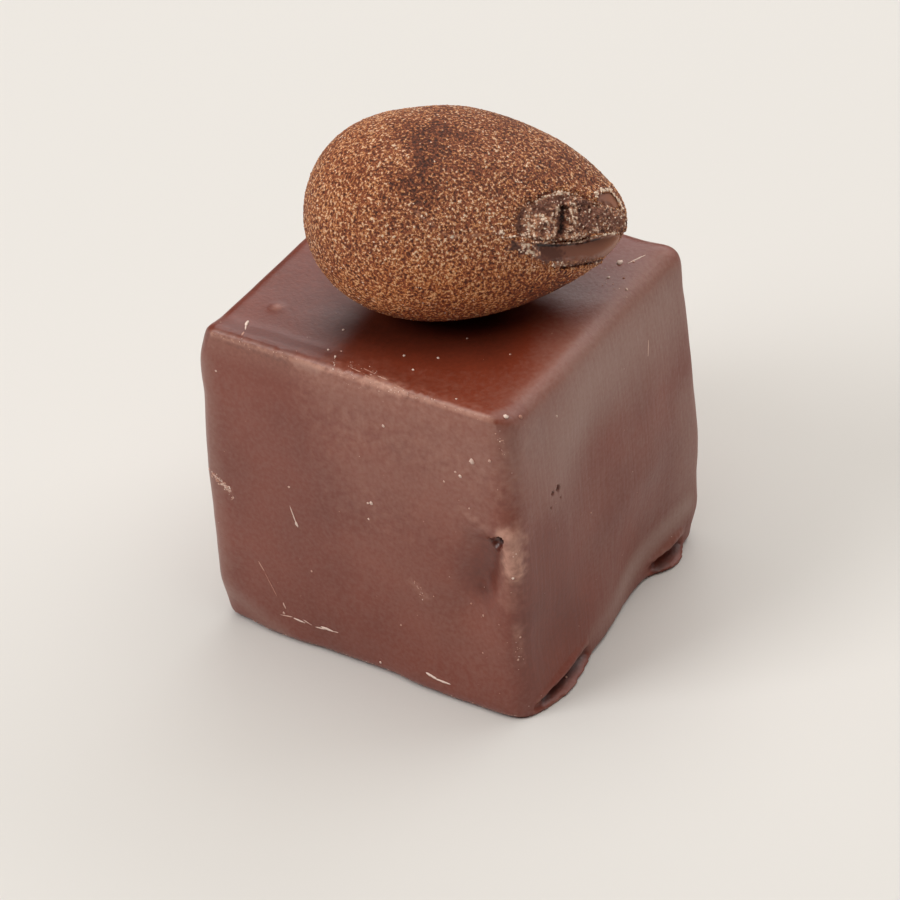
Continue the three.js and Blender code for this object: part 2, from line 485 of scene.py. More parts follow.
def cocoa_dusted_chocolate(almond):
    """Dark-brown chocolate coat under cocoa and gold dust: matt and grainy, with dark gaps
    between curled ridges of dust and painted glints on the largest grains. The dust is darker low
    by the tip and underneath, as painted shade, and golden and lighter round the lower side, as
    painted bounce light. The fresh break at the tip is bare: rough and crumbly inside, satin on
    its facets and pale along its edges, partly as painted highlight, with painted shade under its
    ridge and in its slots and crack."""
    material, tree = new_tree("Cocoa-dusted chocolate")
    coords = add(tree, "TexCoord").outputs["Object"]
    dust, warm_and_bounce_lit, bare, tone, smooth = painted_marks(tree, "dust", "warm_and_bounce_lit", "bare", "tone", "smooth")
    # ridges of dust curl round gaps 0.32 mm apart, coarser than real dust, which would flicker
    curls = add(tree, "TexNoise", {"Vector": coords, "Scale": 1 / (0.32 * MM), "Detail": 2.5})
    middle = add(tree, "Math", {0: curls, 1: 0.5}, operation="SUBTRACT")
    apart = add(tree, "Math", {0: middle}, operation="ABSOLUTE")
    ridges = add(
        tree,
        "MapRange",
        {"Value": apart, "From Min": 0.0, "From Max": 0.08, "To Min": 1.0, "To Max": 0.0},
    )
    # grains 0.2 mm across, and drifts 3 mm across
    fine = add(
        tree,
        "TexNoise",
        {"Vector": coords, "Scale": 1 / (0.2 * MM), "Detail": 2.0, "Roughness": 0.6},
    )
    drift = add(tree, "TexNoise", {"Vector": coords, "Scale": 1 / (3 * MM), "Detail": 3.0})
    grains = add(tree, "MapRange", {"Value": fine, "From Min": 0.33, "From Max": 0.67})
    drifted = add(tree, "MapRange", {"Value": drift, "From Min": 0.3, "From Max": 0.7})
    # the dust mark also carries painted shade low by the tip and underneath, and painted bounce light round
    # the lower side
    dusty = add(tree, "Math", {0: drifted, 1: 0.4, 2: dust}, operation="MULTIPLY_ADD")
    curled = add(tree, "Math", {0: ridges, 1: grains}, operation="MULTIPLY")
    layer = add(tree, "Math", {0: grains, 1: 0.35, 2: 0.06}, operation="MULTIPLY_ADD")
    ridged = add(tree, "Math", {0: curled, 1: 0.45, 2: layer}, operation="MULTIPLY_ADD")
    # painted glints: only the largest grains are made paler, as though they catch the light
    painted_glints = add(tree, "MapRange", {"Value": fine, "From Min": 0.56, "From Max": 0.7})
    heaped = add(tree, "Math", {0: painted_glints, 1: 0.5, 2: ridged}, operation="MULTIPLY_ADD")
    level = add(tree, "Math", {0: heaped, 1: dusty}, operation="MULTIPLY")
    dusted = add(
        tree,
        "ValToRGB",
        {"Fac": level},
        stops=((0.04, almond.coat), (0.95, almond.pale), (0.3, almond.cocoa), (0.62, almond.gold)),
    )
    # golden tint, which round the lower side is painted bounce light
    warmed = add(
        tree,
        "Mix",
        {0: warm_and_bounce_lit, 6: dusted, 7: linear(GOLDEN_AND_BOUNCE_TINT)},
        data_type="RGBA",
        blend_type="MULTIPLY",
    )
    # the break's own tone runs from dark gaps to scraped edges; its dark end also gives painted shade and
    # its pale end painted highlights
    calm = add(tree, "Math", {0: 1.0, 1: smooth}, operation="SUBTRACT")
    grit = add(tree, "Math", {0: grains, 1: calm}, operation="MULTIPLY")
    gritty = add(tree, "Math", {0: grit, 1: 0.26, 2: tone}, operation="MULTIPLY_ADD")
    broken = add(
        tree,
        "ValToRGB",
        {"Fac": gritty},
        stops=(
            (0.08, linear(BREAK_GAP_SHADE)),
            (1.0, almond.pale),
            (0.35, linear(BREAK_SHADE)),
            (0.6, almond.broken),
            (0.8, linear(BREAK_LIGHT)),
        ),
    )
    shown = add(tree, "Mix", {0: bare, 6: warmed.outputs[2], 7: broken}, data_type="RGBA")
    roughness = add(tree, "Math", {0: smooth, 1: -0.33, 2: 0.7}, operation="MULTIPLY_ADD")
    height = add(tree, "Math", {0: curled, 1: 0.8, 2: grains}, operation="MULTIPLY_ADD")
    relief = add(tree, "Math", {0: height, 1: calm}, operation="MULTIPLY")
    bump = add(tree, "Bump", {"Strength": 1.0, "Distance": 0.09 * MM, "Height": relief})
    shader = add(
        tree,
        "BsdfPrincipled",
        {"Base Color": shown.outputs[2], "Roughness": roughness, "IOR": 1.46, "Normal": bump},
    )
    add(tree, "OutputMaterial", {"Surface": shader})
    return material


def loose_crumbs(name, dark, middle, pale):
    """Crumbs and dust of chocolate and cocoa: dull and gritty, each with its own tone, from the
    dark of the coat to the pale cream of a scraped edge."""
    material, tree = new_tree(name)
    (tone,) = painted_marks(tree, "tone")
    shade = add(tree, "ValToRGB", {"Fac": tone}, stops=((0.0, dark), (1.0, pale), (0.5, middle)))
    coords = add(tree, "TexCoord").outputs["Object"]
    grit = add(tree, "TexNoise", {"Vector": coords, "Scale": 1 / (0.1 * MM), "Detail": 2.0})
    bump = add(tree, "Bump", {"Strength": 0.4, "Distance": 0.02 * MM, "Height": grit})
    shader = add(
        tree, "BsdfPrincipled", {"Base Color": shade, "Roughness": 0.5, "IOR": 1.46, "Normal": bump}
    )
    add(tree, "OutputMaterial", {"Surface": shader})
    return material


# ---------- The block ----------


# Feet of pooled coat: where each stretch of the base starts and ends.
FRONT_FOOT = ((12.9, -11.7, 0.1), (12.9, -4.3, 0.1))
BACK_FOOT = ((12.3, 6.0, 0.1), (12.3, 9.8, 0.1))
HIDDEN_FOOT = ((7.0, 12.3, 0.1), (0.5, 12.3, 0.1))
FOOT_BLEND = 0.5
FOOT_INSETS = (0.0, 0.06, 0.13, 0.21, 0.3, 0.4)  # a foot grows in steps, each shorter at both ends
COVE_INSETS = (0.06, 0.2, 0.34)
# The cove over a foot and the lip over the cove: their heights at the foot's two ends, how far
# they are pushed out and how far the push reaches.
COVE = (0.55, 0.8, -0.28, 0.5)
LIP_OVER_COVE = (0.95, 1.5, 0.1, 0.55)
FOOT_ZONE = (10.5, 2.4)  # the feet that show lie beyond this along X, and below this

# Lines that the relief and the paint follow, and small marks.
RIM = ((-11.6, -11.75, TOP), (-6.0, -11.85, TOP), (1.0, -11.9, TOP), (11.4, -11.95, TOP))
CRUMBLED_RIM = ((-1.6, -11.4, TOP), (5.8, -11.7, TOP))
CREASE_LINE = ((11.3, -12.4, 15.2), (8.6, -12.4, 8.2))
PINCH = ((12.45, -12.5, 16.0), (12.65, -12.6, 13.4))
LIP = ((8.9, -12.3, 17.3), (10.7, -12.3, 16.5), (12.2, -12.4, 16.5))
CORNER = ((12.3, -12.3, 4), (12.3, -12.2, TOP))
FLARE = ((11.9, -3.6, 1.7), (11.8, 0.0, 1.3), (11.8, 3.6, 2.2), (12.4, 6.2, 2.7), (12.9, 10.2, 3.6))
DOME = (-9.25, -7.15, TOP)
# The nick at the crease's head: each press's place along X and Z, its depth and its reach.
NICK = (
    (10.95, 14.9, 0.6, 0.65),
    (11.2, 15.15, 0.9, 0.6),
    (11.5, 15.5, 0.9, 0.5),
    (11.8, 15.85, 0.6, 0.3),
)
# Each air hole's place and size.
AIR_HOLES = (
    (12.9, -6.72, 16.72, 0.44),
    (12.9, -7.6, 16.85, 0.28),
    (12.9, -6.45, 15.7, 0.2),
    (12.9, -7.9, 15.8, 0.14),
)
# Where the mesh is made finer, apart from the feet: a line and how far round it.
FINE_PLACES = (
    (RIM, 1.3),
    (CREASE_LINE, 2.6),
    (CORNER, 1.0),
    ((AIR_HOLES[0][:3], AIR_HOLES[1][:3]), 1.6),
    ((DOME, DOME), 1.3),
)


def block_cage():
    """A cube at the block's size, with its corners and rings moved and its edges rounded."""
    bpy.ops.object.select_all(action="DESELECT")
    bpy.ops.mesh.primitive_cube_add(
        size=1, location=mm(0, 0, TOP / 2), scale=mm(BLOCK_WIDTH, BLOCK_DEPTH, BLOCK_HEIGHT)
    )
    block = bpy.context.object
    bpy.ops.object.transform_apply(location=True, rotation=True, scale=True)
    for share in RING_SHARES:
        edit_only(block, np.ones(len(block.data.vertices), bool))
        bpy.ops.mesh.bisect(plane_co=mm(0, 0, share * TOP), plane_no=(0, 0, 1))
        leave_edit()
    for share in (0.0, *RING_SHARES):
        for (x, y), (out_x, out_y) in BASE_SPREAD.items():
            spots = places(block)
            here = np.abs(spots[:, 2] - share * TOP) < 0.01
            here &= (spots[:, 0] * x > 0) & (spots[:, 1] * y > 0)
            edit_only(block, here)
            amount = 1 - share**SWELL
            bpy.ops.transform.translate(value=mm(out_x * amount, out_y * amount, 0))
            leave_edit()
    widest = max(*EDGE_RADII.values(), *UPPER_RADII.values())
    upper = [(side, radius - EDGE_RADII[side], 0.0) for side, radius in UPPER_RADII.items()]
    for side, radius, lowest in [(side, radius, -TOP) for side, radius in EDGE_RADII.items()] + upper:
        spots = places(block) - np.array((0, 0, TOP / 2))
        here = spots[:, 2] > lowest - 0.01
        for axis, half in enumerate((RIGHT, BACK, TOP / 2)):
            if side[axis]:
                here &= spots[:, axis] * side[axis] > 0.9 * half
        edit_only(block, here)
        bpy.ops.transform.edge_bevelweight(value=radius / widest)
        leave_edit()
    modify(block, "BEVEL", limit_method="WEIGHT", width=widest * MM, segments=EDGE_SEGMENTS)
    modify(block, "REMESH", mode="VOXEL", voxel_size=BLOCK_STEP * MM)
    modify(block, "SMOOTH", factor=0.5, iterations=5)
    return block


def press_wide_forms(block, hollow):
    """The hollow, flutes, dents and worn corners that dipping and handling left."""
    # thumb hollow low on the right side, and the shallow flute above it
    press(block, (12.9, 4.6, 2.2), (-hollow, 0, 0), 9.0)
    press(block, (13.0, -3.2, 16.5), (-0.35, 0, 0), 5.0, to=(13.0, -2.4, 8.0))
    press(block, (13.0, 6.2, 19.0), (0.12, 0, 0), 3.0, to=(13.0, 5.2, 11.0))
    # flattened stretch beside the front corner, near the base
    press(block, (13.2, -9.3, 5.2), (-0.35, 0, 0), 4.5)
    # worn lower corners, and a slack stretch of the front's base edge
    press(block, (-13.2, -12.0, 0), (0.3, 0.6, 0), 4.2)
    press(block, (13.0, 12.1, 0), (-0.6, -0.5, 0), 3.6)
    press(block, (-4.0, -12.5, 0), (0, 0.2, 0), 3.5, to=(0.5, -12.5, 0))
    press(block, (4.5, -12.7, 0.3), (0, -0.18, 0), 4.0, to=(10.0, -12.7, 0.3))
    # fuller coat at the left and right upper corners
    press(block, (-12.5, -11.7, 23.0), (-0.38, -0.05, 0), 3.8)
    press(block, (-12.9, -11.9, 14.0), (-0.12, 0, 0), 6.0)
    press(block, (12.3, 11.5, 24.9), (0.2, 0.1, 0.22), 2.6)
    press(block, (11.5, 4.0, TOP), (0, 0, 0.1), 3.0, to=(11.8, 10.0, TOP))
    press(block, (13.0, 12.2, 9.5), (0.15, 0.1, 0), 4.0)
    # shallow dents in the sides that face away
    press(block, (-13.2, 3.5, 9.5), (0.35, 0, 0), 8.0)
    press(block, (-4.0, 12.2, 13.5), (0, -0.4, 0), 8.0)
    # the top rises gently to its front edge
    press(block, (LEFT + 1, FRONT + 0.3, TOP), (0, 0, 0.24), 2.3, to=(RIGHT - 2, FRONT, TOP))
    press(block, (LEFT + 1, FRONT + 0.3, TOP), (0, 0, 0.12), 2.6, to=(-3.0, FRONT, TOP))


def press_crease(block, depth):
    """The crease beside the front corner: a valley with a soft left flank and a steep right one,
    between the front and a pinched-out stretch of the corner."""
    press(block, (12.5, -12.6, 16.2), (0.2, -0.35, 0), 2.4, to=(12.4, -12.6, 13.4))
    press(block, (12.2, -12.6, 13.4), (0.03, -0.12, 0), 2.8, to=(11.9, -12.6, 10.4))
    press(block, (10.2, -12.6, 13.2), (0, 0.36 * depth, 0), 3.6, to=(8.6, -12.6, 8.6))
    press(block, (10.6, -12.6, 14.2), (0, 0.5 * depth, 0), 2.3, to=(9.5, -12.6, 11.4))
    press(block, (9.6, -12.6, 11.0), (0, 0.2 * depth, 0), 2.0, to=(8.6, -12.6, 8.6))


def press_foot(block, foot, reach_out):
    """A foot of pooled chocolate along a stretch of the base, widest in the middle."""
    start, end = Vector(foot[0]), Vector(foot[1])
    outward = Vector((end.y - start.y, start.x - end.x, 0)).normalized()
    for inset in FOOT_INSETS:
        near, far = start.lerp(end, inset), start.lerp(end, 1 - inset)
        push = outward * reach_out / len(FOOT_INSETS)
        press(block, tuple(near), tuple(push), FOOT_BLEND, to=tuple(far))


def undercut_foot(block, foot):
    """The soft lip over a foot and the cove between them, deepest in the middle."""
    start, end = Vector(foot[0]), Vector(foot[1])
    outward = Vector((end.y - start.y, start.x - end.x, 0)).normalized()
    for inset in COVE_INSETS:
        for low, high, out, reach in (COVE, LIP_OVER_COVE):
            near = start.lerp(end, inset) + Vector((0, 0, low))
            far = start.lerp(end, 1 - inset) + Vector((0, 0, high))
            press(block, tuple(near), tuple(outward * out), reach, to=tuple(far))


def add_fine_relief(block):
    """What is too small for the block's first mesh: the rim, the nick, the air holes and the
    lips over the feet, on a finer mesh of their own."""
    spots = places(block)
    side, height = FOOT_ZONE
    fine = (spots[:, 2] < height) & (spots[:, 0] > side)
    for path, reach in FINE_PLACES:
        fine |= from_path(spots, path) < reach
    refine(block, fine)

    for foot in (FRONT_FOOT, BACK_FOOT, HIDDEN_FOOT):
        undercut_foot(block, foot)
    spots = places(block)
    low = (1 - smooth_rise(spots[:, 2], 1.6, 2.3)) * (spots[:, 0] > side)
    modify(block, "SMOOTH", factor=0.5, iterations=7, vertex_group=weigh(block, "feet", low).name)
    # the thin rim along the top front edge, and the nick at the crease's head
    for start, end in zip(RIM, RIM[1:]):
        press(block, start, (0, -0.04, 0.08), 0.5, to=end)
    for x, z, depth, reach in NICK:
        press(block, (x, -12.3, z), (0.15 * depth, depth, 0.1 * depth), reach, falloff="SPHERE")
    press(block, PINCH[0], (0.1, -0.14, 0), 0.9, to=PINCH[1])
    press(block, DOME, (0, 0, 0.08), 0.9)
    for x, y, z, size in AIR_HOLES:
        press(block, (x, y, z), (-1.5 * size, 0, 0), 0.6 * size, falloff="SPHERE")
    spots = places(block)
    crumbled = 1 - smooth_rise(from_path(spots, CRUMBLED_RIM), 0.4, 1.1)
    roughen(block, "crumbled rim", grain=0.35, height=0.22, weights=crumbled)
    rim = 1 - smooth_rise(from_path(spots, RIM), 0.2, 0.6)
    roughen(block, "rim", grain=0.7, height=0.1, weights=rim)
    pinched = 1 - smooth_rise(from_path(places(block), PINCH), 0.3, 0.9)
    roughen(block, "pinched coat", grain=0.6, height=0.2, weights=pinched)


def flatten_underside(block):
    """Sets the block flat on the ground."""
    edit_only(block, places(block)[:, 2] < 0.1)
    bpy.ops.transform.resize(value=(1, 1, 0), center_override=(0, 0, 0))
    leave_edit()


# Worn pale coat, and painted highlights: the line, how much and how far it reaches.
WEAR_AND_HIGHLIGHT_PLACES = (
    # worn coat, paler and dull; at the pinch, the nick's lip, the rim and the top corner it is partly
    # painted highlight
    (PINCH, 0.8, 1.6),
    (LIP, 0.45, 0.7),
    (((-4.6, -12.1, TOP - 0.1), (-3.0, -12.2, TOP - 0.3)), 0.3, 0.8),
    (((1.2, -11.6, TOP), (3.6, -11.9, TOP)), 0.45, 0.9),
    (((12.0, -12.2, 24.6), (12.3, -12.2, 23.0)), 0.6, 0.6),
    (((4.2, -12.3, 9.4), (5.0, -12.3, 8.5)), 0.35, 0.7),
    (((12.5, -12.5, 8.0), (12.7, -12.5, 5.0)), 0.35, 0.8),
    (((-12.6, -11.7, 13.1), (-11.4, -12.0, 12.2)), 0.4, 0.5),
    # painted highlights: the front's upper and right parts, the dome, the feet's rims and lips, below the
    # pinch, the top's right edge
    (((-2.0, -12.3, 23.6), (11.0, -12.3, 22.4)), 0.2, 4.5),
    (((1.0, -12.3, 18.0), (9.5, -12.3, 19.0)), 0.18, 6.5),
    ((DOME, DOME), 0.3, 0.6),
    (((2.0, -12.3, 11.0), (8.5, -12.3, 6.0)), 0.08, 6.0),
    (((13.3, -10.8, 0.1), (13.8, -9.0, 0.1), (13.85, -6.7, 0.1), (13.4, -5.0, 0.1)), 0.4, 0.35),
    (((12.9, -11.2, 1.1), (12.9, -8.0, 1.25), (12.9, -4.6, 1.5)), 0.35, 0.4),
    (((12.3, 6.0, 1.2), (12.4, 9.8, 1.5)), 0.3, 0.4),
    (((12.2, -12.5, 14.2), (12.0, -12.5, 10.5)), 0.22, 1.6),
    (((12.2, -8.0, TOP - 0.3), (12.4, 10.0, TOP - 0.3)), 0.18, 1.8),
)
SIDE_SHEEN = 0.07  # painted sheen all round the sides
# Painted sheen, or painted shade (below zero): the line, how much and how far it reaches.
SHEEN_AND_SHADE_PLACES = (
    # painted sheen on the hollow side's upper part and back, down the left edge and along the left base
    (((12.9, -9.2, 22.5), (12.9, -6.0, 18.5)), 0.42, 5.5),
    (((12.9, -2.0, 22.5), (12.9, 9.0, 22.0)), 0.65, 6.5),
    (((12.9, 10.6, 13.0), (12.9, 10.8, 6.0)), 0.4, 3.5),
    (((-12.6, -11.7, 22.5), (-12.8, -11.8, 3.0)), 0.35, 1.6),
    (((-12.2, -12.0, 2.4), (-8.0, -12.3, 0.6)), 0.3, 1.6),
    # painted sheen along the flared base of the hollow side
    (FLARE, 0.8, 1.8),
    # painted shade low on the hollow side and in its middle, and a faint painted sheen over all of it
    (((12.9, -9.5, 12.0), (12.9, -5.5, 5.0)), -0.25, 5.5),
    (((12.9, 0.0, 16.0), (12.9, 2.0, 6.0)), -0.1, 5.0),
    (((12.9, -4.0, 20.0), (12.9, 4.0, 6.0)), 0.12, 14.0),
    # painted shade on the top: behind the rim's left part, at its left and round the almond's contact
    (((-10.5, -11.0, TOP), (-3.0, -11.0, TOP)), -0.2, 1.8),
    (((-10.5, -3.0, TOP), (-6.0, -7.0, TOP)), -0.3, 8.0),
    (((-3.0, -7.0, TOP), (6.0, -4.0, TOP)), -0.6, 4.5),
    # painted shade on the rounded front corner, and painted sheen on a spot by the rim and on the dome
    (((12.0, -12.4, 23.0), (12.0, -12.4, 17.0)), -0.15, 1.4),
    (((-4.6, -12.0, TOP - 0.1), (-3.0, -12.1, TOP - 0.3)), 0.45, 0.8),
    ((DOME, DOME), 0.4, 0.6),
    # painted shade low by the front corner, down the crease, in the nick and in the coves over the feet
    (((12.9, -11.0, 8.0), (12.9, -10.5, 3.0)), -0.2, 3.0),
    (((10.9, -12.0, 14.4), (10.3, -12.0, 12.8), (9.4, -12.0, 10.4)), -0.55, 1.8),
    (((11.1, -12.0, 15.1), (11.7, -12.0, 15.7)), -1.6, 0.6),
    (((12.5, -10.8, 0.5), (12.8, -9.4, 0.5), (12.8, -6.4, 0.6), (12.5, -4.9, 0.65)), -0.9, 0.75),
    (((12.2, 6.5, 0.5), (12.3, 7.4, 0.5), (12.3, 8.8, 0.5), (12.1, 9.5, 0.5)), -0.9, 0.75),
)


def paint_block(block):
    """Marks where the coat is worn pale or has painted highlights, where painted sheen greys it and
    where painted shade darkens it, and which side has upright strokes."""
    spots = places(block)
    along_rim = from_path(spots, RIM)
    # a pale band below the front rim and a thin line on it: worn coat, partly painted highlight
    wear_and_highlight = 0.2 * (1 - smooth_rise(along_rim, 0.3, 2.6)) * (spots[:, 1] < FRONT + 0.05)
    wear_and_highlight += 0.45 * (1 - smooth_rise(along_rim, 0.1, 0.38))
    for path, amount, reach in WEAR_AND_HIGHLIGHT_PLACES:
        away = from_path(spots, path)
        near = away < 2 * reach
        away[near] += 0.35 * reach * cloud(spots[near], 0.5)
        wear_and_highlight += amount * (1 - smooth_rise(away, 0, reach))
    paint(block, "wear_and_highlight", np.clip(wear_and_highlight, 0, 1))
    sheen_and_shade = SIDE_SHEEN * (1 - smooth_rise(spots[:, 2], TOP - 0.8, TOP - 0.2))
    for path, amount, reach in SHEEN_AND_SHADE_PLACES:
        sheen_and_shade += amount * (1 - smooth_rise(from_path(spots, path), 0, reach))
    paint(block, "sheen_and_shade", np.clip(sheen_and_shade, -1, 1))
    paint(block, "brushed", smooth_rise(spots[:, 0], 11.2, 12.2))


class BONBON_OT_block(Operator):
    """Models the enrobed block: its worn edges, thumb hollow, crease, feet and rim"""

    bl_idname = "bonbon.block"
    bl_label = "Enrobed Block"
    bl_options = {"REGISTER", "UNDO"}

    def execute(self, context):
        settings = context.scene.bonbon_block
        block = block_cage()
        press_wide_forms(block, settings.hollow / MM)
        press_crease(block, settings.crease / MM)
        roughen(block, "uneven coat", grain=7.0, height=0.2)
        for foot, share in ((FRONT_FOOT, 1.0), (BACK_FOOT, 1.0), (HIDDEN_FOOT, 0.5)):
            press_foot(block, foot, share * settings.foot / MM)
        modify(block, "REMESH", mode="VOXEL", voxel_size=BLOCK_STEP * MM)
        modify(block, "SMOOTH", factor=0.5, iterations=2)
        creased = 1 - smooth_rise(from_path(places(block), CREASE_LINE), 1.6, 3.0)
        group = weigh(block, "crease", creased).name
        modify(block, "SMOOTH", factor=0.5, iterations=12, vertex_group=group)
        add_fine_relief(block)
        flatten_underside(block)
        paint_block(block)
        activate(block)
        block.scale = (
            settings.width / (BLOCK_WIDTH * MM),
            settings.depth / (BLOCK_DEPTH * MM),
            settings.height / (BLOCK_HEIGHT * MM),
        )
        bpy.ops.object.transform_apply(location=False, rotation=False, scale=True)
        finish_piece(block, "chocolate_block", "milk_chocolate", milk_chocolate(settings), "enrobed_block")
        return {"FINISHED"}


# ---------- Crumbs on the block ----------

# Each crumb's place on the block, its width and its tone, from dark to pale.
CRUMBS = (
    ((11.9, -10.98, TOP), 0.468, 0.95),
    ((12.6, -9.98, TOP - 0.5), 0.39, 0.35),
    ((9.69, 8.09, TOP), 0.65, 0.95),
    ((9.86, 6.2, TOP), 0.312, 1.0),
    ((10.87, 6.6, TOP), 0.26, 0.3),
    ((11.68, 5.66, TOP), 0.312, 0.75),
    ((10.5, 8.6, TOP), 0.234, 0.6),
    ((-3.61, -7.38, TOP), 0.234, 0.95),
    ((-3.2, -9.99, TOP), 0.26, 0.95),
    ((-2.32, -9.68, TOP), 0.182, 0.7),
    ((1.87, -8.14, TOP), 0.26, 1.0),
    ((4.12, -7.3, TOP), 0.26, 1.0),
    ((3.31, -9.28, TOP), 0.26, 1.0),
    ((4.74, -4.47, TOP), 0.208, 0.85),
    ((8.42, -4.78, TOP), 0.182, 0.6),
    ((7.95, -11.17, TOP), 0.208, 0.9),
    ((-11.46, -12, 22.38), 0.208, 0.8),
    ((2.48, -12, 22.24), 0.286, 0.85),
    ((9.73, -12.3, 21.71), 0.546, 0.8),
    ((11.13, -12.3, 22.17), 0.312, 0.6),
    ((8.73, -12.3, 20.18), 0.338, 0.85),
    ((8.34, -12.3, 20.39), 0.234, 0.7),
    ((7.37, -12.3, 19.3), 0.208, 0.7),
    ((9.35, -12.3, 17.73), 0.208, 0.6),
    ((-5.98, -12, 14.26), 0.234, 0.7),
    ((1.08, -12, 15.31), 0.364, 0.9),
    ((0.78, -12, 15.2), 0.26, 0.8),
    ((0.7, -12, 13.79), 0.208, 0.95),
    ((0.53, -12.3, 0.96), 0.26, 0.9),
    ((2.72, -12.3, 5.22), 0.208, 0.55),
    ((-4.7, -12.1, 7.28), 0.208, 0.6),
    ((-7.51, -12.1, 2.56), 0.26, 0.7),
    ((9.46, -12.4, 8.18), 0.234, 0.6),
    ((8.44, -12.4, 8.71), 0.208, 0.5),
    ((12.39, -12.4, 12.69), 0.286, 1.0),
    ((12.73, -12.4, 7.21), 0.208, 0.6),
    ((12.28, -12.4, 5.28), 0.208, 0.6),
    ((9.57, -12.4, 5.21), 0.156, 0.55),
    ((12.9, -7.41, 0.62), 0.26, 0.6),
    ((12.9, -2.4, 11.57), 0.182, 0.6),
    ((12.9, -6.14, 22.44), 0.26, 0.85),
)

# Slivers of coat scraped up by a touch: where each starts and ends, its width and its tone.
SLIVERS = (
    ((-10.2, -9.4, TOP), (-9.9, -10.2, TOP), 0.24, 1.0),
    ((-10.05, -9.9, TOP), (-9.6, -10.7, TOP), 0.1, 0.95),
    ((-9.5, -11.0, TOP), (-9.35, -11.5, TOP), 0.13, 0.55),
    ((-2.35, -10.4, TOP), (-1.95, -11.3, TOP), 0.16, 1.0),
    ((-2.0, -11.1, TOP), (-1.6, -11.8, TOP), 0.2, 1.0),
    ((-0.6, -11.2, TOP), (0.8, -11.5, TOP), 0.1, 0.45),
    ((0.2, -10.9, TOP), (1.3, -11.1, TOP), 0.09, 0.4),
    ((0.9, -11.6, TOP), (2.3, -11.75, TOP), 0.12, 0.5),
    ((1.6, -11.25, TOP), (2.5, -11.35, TOP), 0.1, 0.6),
    ((2.5, -11.8, TOP), (3.6, -12.0, TOP), 0.14, 0.55),
    ((3.2, -11.55, TOP), (4.2, -11.7, TOP), 0.1, 0.4),
    ((10.2, 8.2, TOP), (10.85, 9.7, TOP), 0.12, 0.9),
    ((-6.06, -12, 12.6), (-5.61, -12, 11.1), 0.1, 0.9),
    ((-5.7, -12, 11.35), (-5.52, -12, 10.9), 0.2, 0.95),
    ((-9.33, -12, 6.51), (-8.9, -12, 5.76), 0.1, 0.55),
    ((-8.9, -12, 5.7), (-7.98, -12, 3.84), 0.06, 0.45),
    ((-7.5, -12, 3.5), (-7.3, -12, 3.0), 0.12, 0.7),
    ((-7.87, -12.1, 2.25), (-6.75, -12.1, 2.46), 0.09, 0.7),
    ((-6.7, -12.1, 2.4), (-5.7, -12.1, 2.32), 0.13, 0.95),
    ((-5.9, -12.1, 2.6), (-5.16, -12.1, 2.3), 0.08, 0.8),
    ((-4.9, -12.1, 2.25), (-3.9, -12.1, 2.35), 0.1, 0.9),
    ((-4.4, -12.1, 2.45), (-3.3, -12.1, 2.4), 0.18, 0.95),
    ((-3.3, -12.1, 2.4), (-2.9, -12.1, 2.44), 0.08, 0.8),
    ((4.6, -12.4, 1.75), (5.6, -12.4, 1.5), 0.2, 1.0),
    ((5.4, -12.4, 1.5), (6.7, -12.4, 1.45), 0.16, 1.0),
    ((12.9, 6.15, 21.1), (12.9, 5.75, 19.9), 0.08, 0.75),
)

# Where fine crumbs cling together: the stretch, its half-width, how many and how large.
CRUMB_TRAILS = (
    ((-12.7, -11.6, 13.1), (-11.2, -12.1, 12.1), 0.3, 90, 0.17),
    ((-11.4, -12.1, 12.3), (-11.1, -12.1, 11.4), 0.2, 16, 0.12),
    ((-1.0, -11.3, TOP), (2.2, -11.3, TOP), 0.7, 30, 0.1),
    ((2.0, -11.9, TOP), (6.4, -11.9, TOP), 0.3, 26, 0.1),
    ((-12, -11.8, TOP), (11.4, -12.0, TOP), 0.2, 60, 0.07),
    ((12.0, -12.3, 24.6), (12.4, -12.3, 22.6), 0.3, 14, 0.12),
    ((12.3, -12.3, 16.3), (12.7, -12.5, 14.4), 0.4, 10, 0.11),
    ((4.2, -12.3, 9.6), (5.1, -12.3, 8.4), 0.5, 18, 0.09),
    ((12.4, -12.4, 7.6), (12.5, -12.4, 4.6), 0.5, 12, 0.09),
    ((9.0, 7.0, TOP), (11.8, 5.0, TOP), 1.2, 16, 0.1),
    ((-11.0, -11.9, 0.3), (12.0, -12.9, 0.3), 0.12, 90, 0.12),
)
TRAIL_TONES = (0.4, 0.95)
STRAY_CRUMBS = 140  # dust that lies anywhere on the coat
STRAY_SIZES, STRAY_TONES = (0.04, 0.1), (0.3, 0.8)
CRUMB_SEED = 11


def on_surface(obj, place):
    """The nearest place on a piece's surface, and the way that the surface faces there."""
    found, spot, normal, _ = obj.closest_point_on_mesh(mm(*place))
    if not found:
        raise RuntimeError(f"{obj.name} has no surface")
    return spot, normal


def add_sliver(block, start, end, width, tone):
    """A thin spindle of raised coat, half sunk in the surface."""
    (start, facing), (end, _) = on_surface(block, start), on_surface(block, end)
    way = (end - start).normalized()
    across = facing.cross(way).normalized()
    turn = Matrix((way, across, way.cross(across))).transposed()
    bpy.ops.object.select_all(action="DESELECT")
    bpy.ops.mesh.primitive_ico_sphere_add(
        subdivisions=3,
        radius=0.5,
        location=(start + end) / 2,
        rotation=turn.to_euler(),
        scale=((end - start).length, width * MM, 0.6 * width * MM),
    )
    sliver = bpy.context.object
    bpy.ops.object.transform_apply(location=True, rotation=True, scale=True)
    roughen(sliver, "torn coat", grain=0.2, height=0.5 * width)
    paint(sliver, "tone", np.full(len(sliver.data.vertices), tone))
    return sliver


